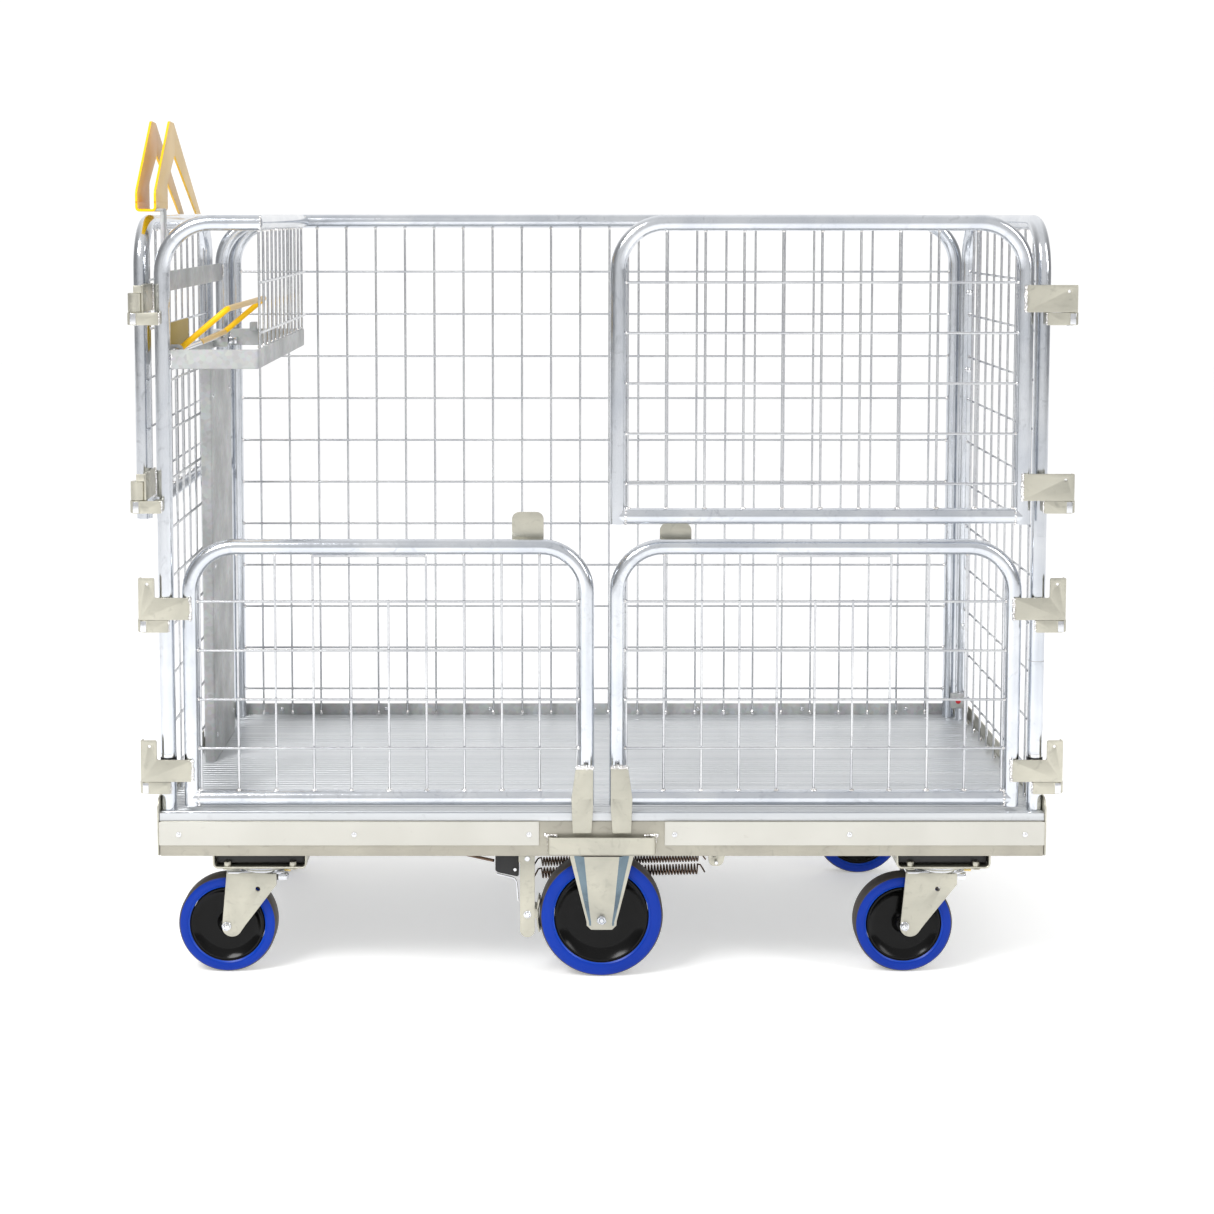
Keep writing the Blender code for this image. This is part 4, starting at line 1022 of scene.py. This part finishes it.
# ---- wheels ----------------------------------------------------------------------
def build_wheel(name, node, radius, width, centre):
    """A tyre with its tread and a dished hub, turned about the axle."""
    half = width / 2 - 0.002
    seat = radius * 0.76
    mid = (seat + radius) / 2
    tyre = Shape("blue", "tread", "ring")
    for sign in (-1, 1):
        side = [(seat + 0.0010, sign * (half - 0.0022)), (seat + 0.0030, sign * (half - 0.0004))]
        tyre.turned(side + [(seat + 0.0034, sign * (half - 0.0010))], centre, (0, 1, 0), "ring", WHEEL_SIDES)
        wall = [(seat + 0.0034, sign * (half - 0.0010)), (seat + 0.0044, sign * (half - 0.0002))]
        wall += [(mid, sign * half), (radius - 0.0058, sign * (half - 0.0004))]
        wall += [(radius - 0.0042, sign * (half - 0.0012)), (radius - 0.0026, sign * (half - 0.0022))]
        tyre.turned(wall, centre, (0, 1, 0), "blue", WHEEL_SIDES)
        lip = [(radius - 0.0026, sign * (half - 0.0022)), (radius - 0.0012, sign * (half - 0.0040))]
        lip.append((radius, sign * (half - 0.0070)))
        tyre.turned(lip, centre, (0, 1, 0), "tread", WHEEL_SIDES)
    tread = [(radius, -half + 0.0070), (radius, half - 0.0070)]
    tyre.turned(tread, centre, (0, 1, 0), "tread", WHEEL_SIDES)
    seat_ring = [(seat + 0.0010, -half + 0.0022), (seat + 0.0002, 0.0), (seat + 0.0010, half - 0.0022)]
    tyre.turned(seat_ring, centre, (0, 1, 0), "tread", WHEEL_SIDES)
    bmesh.ops.remove_doubles(tyre.bm, verts=tyre.bm.verts, dist=2e-6)
    bmesh.ops.recalc_face_normals(tyre.bm, faces=tyre.bm.faces)
    tyre.finished(name + "_rubber", [node + "_tyre"], slot="blue_tyre", body=name)

    hub = Shape("hub", "bright")
    face = width / 2 - 0.004
    rim = seat - 0.0002
    boss = radius * 0.20
    dish = face - radius * 0.12
    profile = [(0.0068, -width / 2 + 0.0006), (boss * 0.7, -width / 2 + 0.0006), (boss, -face + 0.002)]
    profile += [(boss + 0.002, -dish), (rim * 0.72, -dish - 0.002), (rim * 0.80, -dish - 0.0030)]
    profile += [(rim - 0.0055, -face + 0.0016), (rim - 0.0035, -face)]
    profile += [(rim - 0.0010, -face), (rim, -face + 0.0012)]
    mirrored_profile = [(r, -h) for r, h in reversed(profile)]
    hub.turned(profile + mirrored_profile, centre, (0, 1, 0), "hub", WHEEL_SIDES, closed=True)
    hub.finished(name + "_core", [node + "_hub"], slot="black_hub", body=name)


def build_castor(side, sign, end, y):
    name = f"{end}_{side}"
    x = sign * SWIVEL_X
    low = 0.182
    half = 0.076
    top = FRAME_LOW - GAP
    mount = Shape("plate", "bright", "black", "bead")
    left, right, floor = x - half + 0.0015, x + half - 0.0015, low + 0.0015
    corners = [(left, top, 0), (left, floor, 0), (right, floor, 0), (right, top, 0)]
    strip_band(mount, bent(corners, 0.007, 6), SHEET, (0.0, 0.100), "plate")
    bmesh.ops.transform(mount.bm, matrix=upright(y + 0.050), verts=mount.bm.verts)
    # A black block inside the open channel: painted shadow in its hollow.
    painted_shadow_x = (x - half + 0.005, x + half - 0.005)
    mount.block(painted_shadow_x, (y - 0.040, y + 0.045), (low + SHEET + 0.004, top - 0.001), "black", 0.001)
    bolt_out = 0.053
    for bolt_sign in (-1, 1):
        for bolt_y in (y - 0.045 + 0.006, y + 0.036):
            bolt_x = x + bolt_sign * bolt_out
            mount.nut((bolt_x, bolt_y - 0.004, low + SHEET), 0.011, 0.0075, (0, 0, 1), "plate", 0.2)
            mount.rod((bolt_x, bolt_y - 0.004, low - 0.0016), 0.0085, 0.0016, (0, 0, 1), "plate")
    mount.finished(f"castor_channel_{name}", [f"castor_mount_{name}"])

    axle_x = x - TRAIL
    fork = Shape("plate", "bright", "brass", "bead")
    cheek_top = 0.169
    inner = CASTOR_WIDTH / 2 + 0.0035
    cheek = [(axle_x + 0.083, cheek_top), (axle_x + 0.001, cheek_top), (axle_x - 0.0072, CASTOR_R)]
    cheek += arc((axle_x + 0.009, CASTOR_R - 0.001), 0.0165, 190, 330, 14)
    cheek += [(axle_x + 0.031, CASTOR_R + 0.002), (axle_x + 0.083, cheek_top - 0.018)]
    hole = hole_ring((axle_x + 0.052, cheek_top - 0.026), 0.0038, 18)
    for wall_sign in (-1, 1):
        flat = upright(y + wall_sign * (inner + 0.002))
        fork.plate(cheek, 0.0036, "plate", flat, 0.0007, [hole], fold=(axle_x + 0.020, -0.10 * wall_sign))
        bolt_y = y + wall_sign * (inner + 0.0042)
        fork.bolt_end((axle_x, bolt_y, CASTOR_R), 0.0072, (0, wall_sign, 0), "bright")
    fork.rod((axle_x, y - inner - 0.002, CASTOR_R), 0.0058, 2 * inner + 0.004, (0, 1, 0), "bright")
    crown = [(axle_x + 0.001, y - inner - 0.004), (axle_x + 0.100, y - inner - 0.004)]
    crown += [(axle_x + 0.100, y + inner + 0.004), (axle_x + 0.001, y + inner + 0.004)]
    crown_outline = rounded(crown, [0.004, 0.020, 0.020, 0.004], 8)
    fork.plate(crown_outline, 0.005, "bright", Matrix.Translation((0, 0, cheek_top - 0.0005)), 0.0020)
    lip = [(axle_x + 0.078, y - inner - 0.003), (axle_x + 0.099, y - inner - 0.003)]
    lip += [(axle_x + 0.103, y - inner + 0.012), (axle_x + 0.084, y - inner + 0.012)]
    place = Matrix.Translation((0, 0, cheek_top - 0.0078))
    fork.plate(rounded(lip, 0.005, 6), 0.012, "bright", place, 0.0040)
    race = [(0.020, 0.0), (0.0355, 0.0), (0.0385, 0.0020), (0.0395, 0.0045), (0.0385, 0.0068)]
    race += [(0.0365, 0.0080), (0.0375, 0.0092), (0.0400, 0.0100), (0.0400, 0.0118), (0.020, 0.0118)]
    fork.turned(race, (x, y, cheek_top + 0.0005), (0, 0, 1), "bright", 56, closed=True)
    fork.rod((x, y, cheek_top - 0.010), 0.0095, 0.008, (0, 0, 1), "bright")
    fork.nut((x, y, cheek_top - 0.014), 0.019, 0.009, (0, 0, 1), "bright")
    outward = (0.8, -0.5, 0.15)
    nipple = (axle_x + 0.096, y - inner - 0.001, cheek_top + 0.0045)
    fork.rod(nipple, 0.0026, 0.010, outward, "brass", 14)
    nipple_end = (axle_x + 0.1035, y - inner - 0.0058, cheek_top + 0.0060)
    fork.dome(nipple_end, 0.0030, 0.0030, outward, "brass")
    fork.finished(f"castor_yoke_{name}", [f"castor_fork_{name}"], body=f"castor_{name}")
    build_wheel(f"wheel_{name}", f"castor_{name}", CASTOR_R, CASTOR_WIDTH, (axle_x, y, CASTOR_R))


def build_centre_wheel(end, sign):
    """A fixed fork pressed from sheet, with a raised middle, and its wheel."""
    y = sign * CENTRE_Y
    top = FRAME_LOW - GAP
    inner = CENTRE_WIDTH / 2 + 0.004
    bottom = CENTRE_R - 0.018
    shape = Shape("plate", "bright", "bead", "band")
    for side in (-1, 1):
        bm = bmesh.new()
        rows = []
        steps = 18
        for step in range(steps + 1):
            share = step / steps
            z = top - share * (top - bottom)
            wide = 0.052 - 0.028 * min(1.0, (top - z) / (top - CENTRE_R + 0.006))
            corner = 0.007
            if z < bottom + corner:
                wide -= corner - math.sqrt(max(0.0, corner ** 2 - (bottom + corner - z) ** 2))
            fade = max(0.0, 1.0 - share * 1.06)
            rise = 0.0075 * min(1.0, fade * 3.0) + 0.0002
            band = 0.0045 + 0.0035 * fade
            slope = 0.0030 + 0.0135 * fade
            across = [-wide, -wide + band, -wide + band + slope, wide - band - slope, wide - band, wide]
            lift = [0.0, 0.0, rise, rise, 0.0, 0.0]
            rows.append([bm.verts.new((u, side * (inner + out), z)) for u, out in zip(across, lift)])
        for first, second in zip(rows, rows[1:]):
            for at in range(5):
                bm.faces.new((first[at], first[at + 1], second[at + 1], second[at]))
        bmesh.ops.recalc_face_normals(bm, faces=bm.faces)
        if (bm.faces[:][0].normal.y > 0) != (side > 0):
            bmesh.ops.reverse_faces(bm, faces=bm.faces)
        bmesh.ops.solidify(bm, geom=bm.faces[:], thickness=-0.0038)
        shape.take(bm, "plate", Matrix.Translation((0, y, 0)))
        # The sloping flank faces take the slate-blue band finish: painted shade on the faces turned
        # sideways.
        shape.repaint("band", lambda face: 0.18 < abs(face.normal.x) < 0.85 and abs(face.normal.y) > 0.4)
        shape.bolt_end((0.0, y + side * (inner + 0.0042), CENTRE_R), 0.0088, (0, side, 0), "bright")
    crown_y = (y - inner - 0.003, y + inner + 0.003)
    shape.block((-0.050, 0.050), crown_y, (top - 0.004, top), "plate", 0.0008)
    shape.rod((0.0, y - inner - 0.002, CENTRE_R), 0.0062, 2 * inner + 0.004, (0, 1, 0), "bright")
    shape.finished(f"centre_bracket_{end}", [f"centre_fork_{end}"])
    build_wheel(f"wheel_centre_{end}", f"centre_{end}", CENTRE_R, CENTRE_WIDTH, (0.0, y, CENTRE_R))


def build_wheels():
    for end, y in zip(("front", "rear"), CASTOR_Y):
        for side, sign in (("left", -1), ("right", 1)):
            build_castor(side, sign, end, y)
    build_centre_wheel("front", -1)
    build_centre_wheel("rear", 1)


# ---- brake -----------------------------------------------------------------------
HANG_X = -0.120
PIVOT_Z = 0.197
ANCHOR_X = 0.175


def coil_spring(level, y, near_z, far_z, radius, wire):
    """A tension spring from the arm to its anchor, with close turns and a hook at each end."""
    shape = Shape("spring")
    start, end = Vector((HANG_X + 0.022, y, near_z)), Vector((ANCHOR_X - 0.014, y, far_z))
    run = end - start
    turns = round(run.length / (wire * 3.6))
    axis = run.normalized()
    across = axis.cross(Vector((0, 1, 0))).normalized()
    depth = Vector((0, 1, 0))
    points = []
    per_turn = 12
    for step in range(turns * per_turn + 1):
        angle = 2 * math.pi * step / per_turn
        share = step / (turns * per_turn)
        centre = start + run * share
        points.append(centre + (radius - wire) * (math.cos(angle) * across + math.sin(angle) * depth))
    shape.sweep(points, wire, "spring", 8)
    for tip, way in ((start, -1), (end, 1)):
        hook = [tip + across * (radius - wire)]
        for angle in (0.6, 1.2, 1.8, 2.4):
            past = 0.004 + 0.0045 * (1 - math.cos(angle))
            hook.append(tip + axis * way * past + across * (radius - wire) * math.cos(angle))
        shape.sweep(hook, wire, "spring", 8)
    shape.finished(f"brake_coil_{level}", [f"brake_spring_{level}"], slot="dark_spring")


def build_brake():
    y = -CENTRE_Y
    face_y = y - 0.021
    arm = Shape("plate", "bright", "bead")
    outline = [(HANG_X + 0.012, PIVOT_Z + 0.005), (HANG_X + 0.012, 0.076)]
    outline += arc((HANG_X, 0.078), 0.012, -8, -172, 16)
    outline += [(HANG_X - 0.012, 0.076), (HANG_X - 0.012, PIVOT_Z + 0.005)]
    arm.plate(outline, 0.004, "plate", upright(face_y), 0.0007)
    arm.rod((HANG_X, face_y - 0.006, CENTRE_R + 0.004), 0.0046, 0.024, (0, 1, 0), "bright", 20, 0.001)
    arm.rod((HANG_X, face_y - 0.0030, CENTRE_R + 0.004), 0.0064, 0.0012, (0, 1, 0), "bright", 20)
    arm.block((HANG_X - 0.006, HANG_X + 0.006), (face_y, y + 0.032), (0.152, 0.160), "plate")
    arm.rod((HANG_X, face_y - 0.005, PIVOT_Z), 0.0045, 0.032, (0, 1, 0), "bright", 20)
    arm.finished("brake_hanger", ["brake_arm"], body="brake_arm")

    shoe = Shape("plate", "bright", "black")
    face = CENTRE_R + 0.0012
    half_angle = 15
    outline = arc((0, CENTRE_R), face + 0.0018, 180 - half_angle, 180 + half_angle, 12)
    outline += arc((0, CENTRE_R), face + 0.0042, 180 + half_angle, 180 - half_angle, 12)
    shoe.plate(outline, 0.036, "plate", upright(y + 0.0005), 0.0005)
    lining = arc((0, CENTRE_R), face, 181.5 - half_angle, 178.5 + half_angle, 12)
    lining += arc((0, CENTRE_R), face + 0.0018, 178.5 + half_angle, 181.5 - half_angle, 12)
    shoe.plate(lining, 0.034, "black", upright(y + 0.0005), 0.0003)
    web_z = (CENTRE_R - 0.004, CENTRE_R + 0.012)
    shoe.block((HANG_X - 0.006, -face - 0.001), (y - 0.0175, y + 0.0180), web_z, "plate", 0.001)
    shoe.finished("brake_pad", ["brake_shoe"], body="brake_arm")

    block = Shape("black", "bright", "plate")
    top = FRAME_LOW - GAP
    right = HANG_X - 0.014
    corners = [(-0.172, top), (-0.172, 0.1745), (-0.168, 0.1715), (right, 0.1640), (right, top)]
    outline = rounded(corners, [0.0, 0.002, 0.002, 0.003, 0.0])
    block.plate(outline, 0.040, "black", upright(y + 0.004), 0.0010)
    link_y = y - 0.017
    link = [(-0.170, link_y, 0.1700), (HANG_X - 0.018, link_y, 0.1620), (HANG_X - 0.0150, link_y, 0.1250)]
    block.sweep(bent(link, 0.010, 6), 0.0016, "bright", 10)
    block.rod((HANG_X - 0.020, y - 0.0150, PIVOT_Z - 0.020), 0.0030, 0.004, FORWARD, "bright", 16)
    ear_z = (PIVOT_Z - 0.009, top - 0.0005)
    block.block((HANG_X - 0.016, HANG_X + 0.008), (y - 0.0155, y - 0.0125), ear_z, "plate")
    block.finished("brake_housing", ["brake_cable_block"], slot="black_hub")

    rod = Shape("spring")
    route = [(-0.655, 0.080, 0.2015), (-0.520, -0.020, 0.2005), (-0.400, -0.140, 0.1975)]
    route += [(-0.290, -0.245, 0.1925), (-0.1750, y, 0.1865)]
    rod.sweep(bent(route, 0.08, 5), 0.0025, "spring", 12)
    rod.finished("brake_cable", ["brake_rod"], slot="dark_spring")

    anchor = Shape("plate", "bright")
    outline = [(ANCHOR_X, FRAME_LOW - GAP), (ANCHOR_X + 0.004, 0.163), (ANCHOR_X + 0.026, 0.163)]
    outline.append((ANCHOR_X + 0.036, FRAME_LOW - GAP))
    holes = [hole_ring((ANCHOR_X + 0.012, 0.182), 0.0035, 18)]
    outline = rounded(outline, [0.0, 0.008, 0.010, 0.0], 8)
    anchor.plate(outline, 0.0045, "plate", upright(y + 0.048), 0.0008, holes)
    anchor.rod((ANCHOR_X + 0.015, y + 0.033, 0.172), 0.0030, 0.030, (0, 1, 0), "bright", 16)
    anchor.finished("spring_bracket", ["spring_anchor"])

    coil_spring("upper", y + 0.041, 0.172, 0.180, 0.0080, 0.0013)
    coil_spring("lower", y + 0.060, 0.147, 0.154, 0.0095, 0.0014)


# ---- handles ---------------------------------------------------------------------
def on_flat(face):
    return abs(face.normal.x) > 0.8


def build_upper_handle():
    """One bent plate: a broad near leg, a peak and a slender far leg on each side."""
    spread = 0.030
    join = 0.0105
    outline = [(0.000, join), (FOOT_LONG, join), (FOOT_LONG, 0.042), (0.175, 0.090), (0.389, -0.008)]
    outline += [(0.432, -0.008), (0.172, 0.144), (0.134, 0.146), (0.000, 0.028)]
    radii = [0.0, 0.0, 0.010, 0.004, 0.0, 0.0, 0.012, 0.012, 0.010]
    shape = Shape("yellow", "painted_reflection_yellow")
    origin = Vector((-0.7455, HANDLE_Y, 1.2435))
    for x in (0.0, spread):
        place = Matrix.Translation(origin + Vector((x, 0, 0))) @ YZ
        shape.plate(rounded(outline, radii), HANDLE_SHEET, "yellow", place, 0.0008)
    foot = bent([(0, 0.012, 0), (0, -0.002, 0), (spread, -0.002, 0), (spread, 0.012, 0)], 0.005, 6)
    fold = Shape("yellow", "painted_reflection_yellow")
    strip_band(fold, foot, HANDLE_SHEET, (0.0, FOOT_LONG), "yellow")
    shape.take(fold.bm, "yellow", Matrix.Translation(origin + Vector((0, FOOT_LONG, 0))) @ XZ)
    # The flat side faces of the plates take the paler yellow: painted reflection on the same yellow paint.
    shape.repaint("painted_reflection_yellow", on_flat)
    shape.finished("fixed_handle", ["upper_handle"], slot="yellow_handle")

    stay = Shape("galvanised")
    place = Matrix.Translation(origin)
    stay.block((spread, 0.0430), (0.002, 0.029), (-0.0030, 0.0010), "galvanised", 0.0008, place)
    stay.block((0.0375, 0.0435), (0.003, 0.028), (-0.127, 0.0003), "galvanised", 0.0008, place)
    stay.finished("handle_stay")


def build_lever():
    """A loop of round bar that leans inward over a shaft along the bay."""
    shape = Shape("yellow", "painted_reflection_yellow", "bright")
    half = LEVER_BAR / 2
    near = half
    far = HANDLE_LONG - half
    top = LEVER_HIGH - half
    up = Vector((math.sin(LEVER_LEAN), 0, math.cos(LEVER_LEAN)))
    foot = Vector((LEVER_X, HANDLE_Y, LEVER_Z))
    corners = [(near, 0.0), (near, top), (far, top), (far, 0.010), (HANDLE_LONG / 2, 0.002)]
    path = [foot + Vector((0, y, 0)) + up * rise for y, rise in corners]
    shape.sweep(bent(path, 0.009, 6), half, "yellow", 16)
    ridge = LEVER_Z + up.z * (LEVER_HIGH - LEVER_BAR - 0.002)

    def on_ridge(face):
        middle = face.calc_center_median()
        along_bar = HANDLE_Y + 0.012 < middle.y < HANDLE_Y + HANDLE_LONG - 0.012
        return along_bar and (middle.z > ridge or middle.z < LEVER_Z + 0.013)

    # The bar's ridge and underside take the paler yellow: painted reflection, as on the fixed handle's flat
    # faces.
    shape.repaint("painted_reflection_yellow", on_ridge)
    shape.rod((LEVER_X, HANDLE_Y - 0.015, LEVER_Z), half, HANDLE_LONG + 0.030, (0, 1, 0), "bright", 20)
    shape.finished("lever_handle", ["brake_lever"], slot="yellow_handle", body="brake_lever")

    # The shield plate takes the darkened yellow: painted shade on the same yellow paint.
    shield = Shape("painted_shade_yellow")
    shield.block(FLAT_X, (HANDLE_Y, HANDLE_Y + 0.190), (BAY_LOW + 0.0245, 1.060), "painted_shade_yellow", 0.0010)
    shield.finished("handle_shield", (), slot="yellow_handle")


# ---- camera, floor and light -------------------------------------------------------
def build_stage():
    bm = bmesh.new()
    bmesh.ops.create_grid(bm, x_segments=2, y_segments=2, size=14.0)
    mesh = bpy.data.meshes.new("floor")
    bm.to_mesh(mesh)
    bm.free()
    floor = bpy.data.objects.new("floor", mesh)
    floor_material = bpy.data.materials.new("floor")
    floor_material.use_nodes = True
    shader = floor_material.node_tree.nodes["Principled BSDF"]
    shader.inputs["Base Color"].default_value = (0.90, 0.90, 0.90, 1.0)
    shader.inputs["Roughness"].default_value = 0.85
    shader.inputs["Emission Color"].default_value = (1.0, 1.0, 1.0, 1.0)
    shader.inputs["Emission Strength"].default_value = 0.34
    mesh.materials.append(floor_material)
    bpy.context.scene.collection.objects.link(floor)

    world = bpy.data.worlds.new("studio")
    world.use_nodes = True
    background = world.node_tree.nodes["Background"]
    background.inputs["Color"].default_value = (1.0, 1.0, 1.0, 1.0)
    tree = world.node_tree
    direction = add_node(tree, "TexCoord")
    parts = add_node(tree, "SeparateXYZ")
    sideways = add_node(tree, "Math")
    sideways.operation = "ABSOLUTE"
    front = add_node(tree, "MapRange", From_Min=-0.20, From_Max=0.60, To_Min=0.78, To_Max=1.06)
    level = add_node(tree, "MapRange", From_Min=0.35, From_Max=0.92, To_Max=0.30)
    tree.links.new(direction.outputs["Generated"], parts.inputs["Vector"])
    tree.links.new(parts.outputs["X"], sideways.inputs[0])
    tree.links.new(parts.outputs["Y"], front.inputs["Value"])
    tree.links.new(sideways.outputs["Value"], level.inputs["Value"])
    tree.links.new(front.outputs["Result"], level.inputs["To Min"])
    tree.links.new(level.outputs["Result"], background.inputs["Strength"])
    bpy.context.scene.world = world
    bpy.context.scene.view_settings.view_transform = "Standard"


def area_light(name, place, target, size, power):
    light = bpy.data.lights.new(name, "AREA")
    light.shape = "RECTANGLE"
    light.size, light.size_y = size
    light.energy = power
    lamp = bpy.data.objects.new(name, light)
    lamp.location = place
    lamp.rotation_euler = (Vector(target) - Vector(place)).to_track_quat("-Z", "Y").to_euler()
    bpy.context.scene.collection.objects.link(lamp)


def build_camera():
    camera = bpy.data.cameras.new("camera")
    camera.sensor_width = 36.0
    camera.lens = 63.39
    camera.shift_x = 0.0428
    camera.shift_y = -0.1824
    eye = bpy.data.objects.new("camera", camera)
    eye.location = (-0.0752, AHEAD - 3.713, 1.2376)
    eye.rotation_euler = (math.radians(90 - 4.62), 0.0, 0.0)
    bpy.context.scene.collection.objects.link(eye)
    bpy.context.scene.camera = eye


def main():
    build_back_panel()
    build_right_end()
    build_left_end()
    build_bay_wall()
    build_linkage_cover()
    build_post_trim()
    build_doors()
    build_base()
    build_wheels()
    build_brake()
    build_upper_handle()
    build_lever()
    build_stage()
    area_light("key", (-2.2, -2.6, 3.6), (0, 0, 0.8), (1.6, 1.6), 120)
    area_light("fill", (3.2, -2.0, 2.6), (0, 0, 0.9), (0.8, 2.6), 40)
    build_camera()


main()
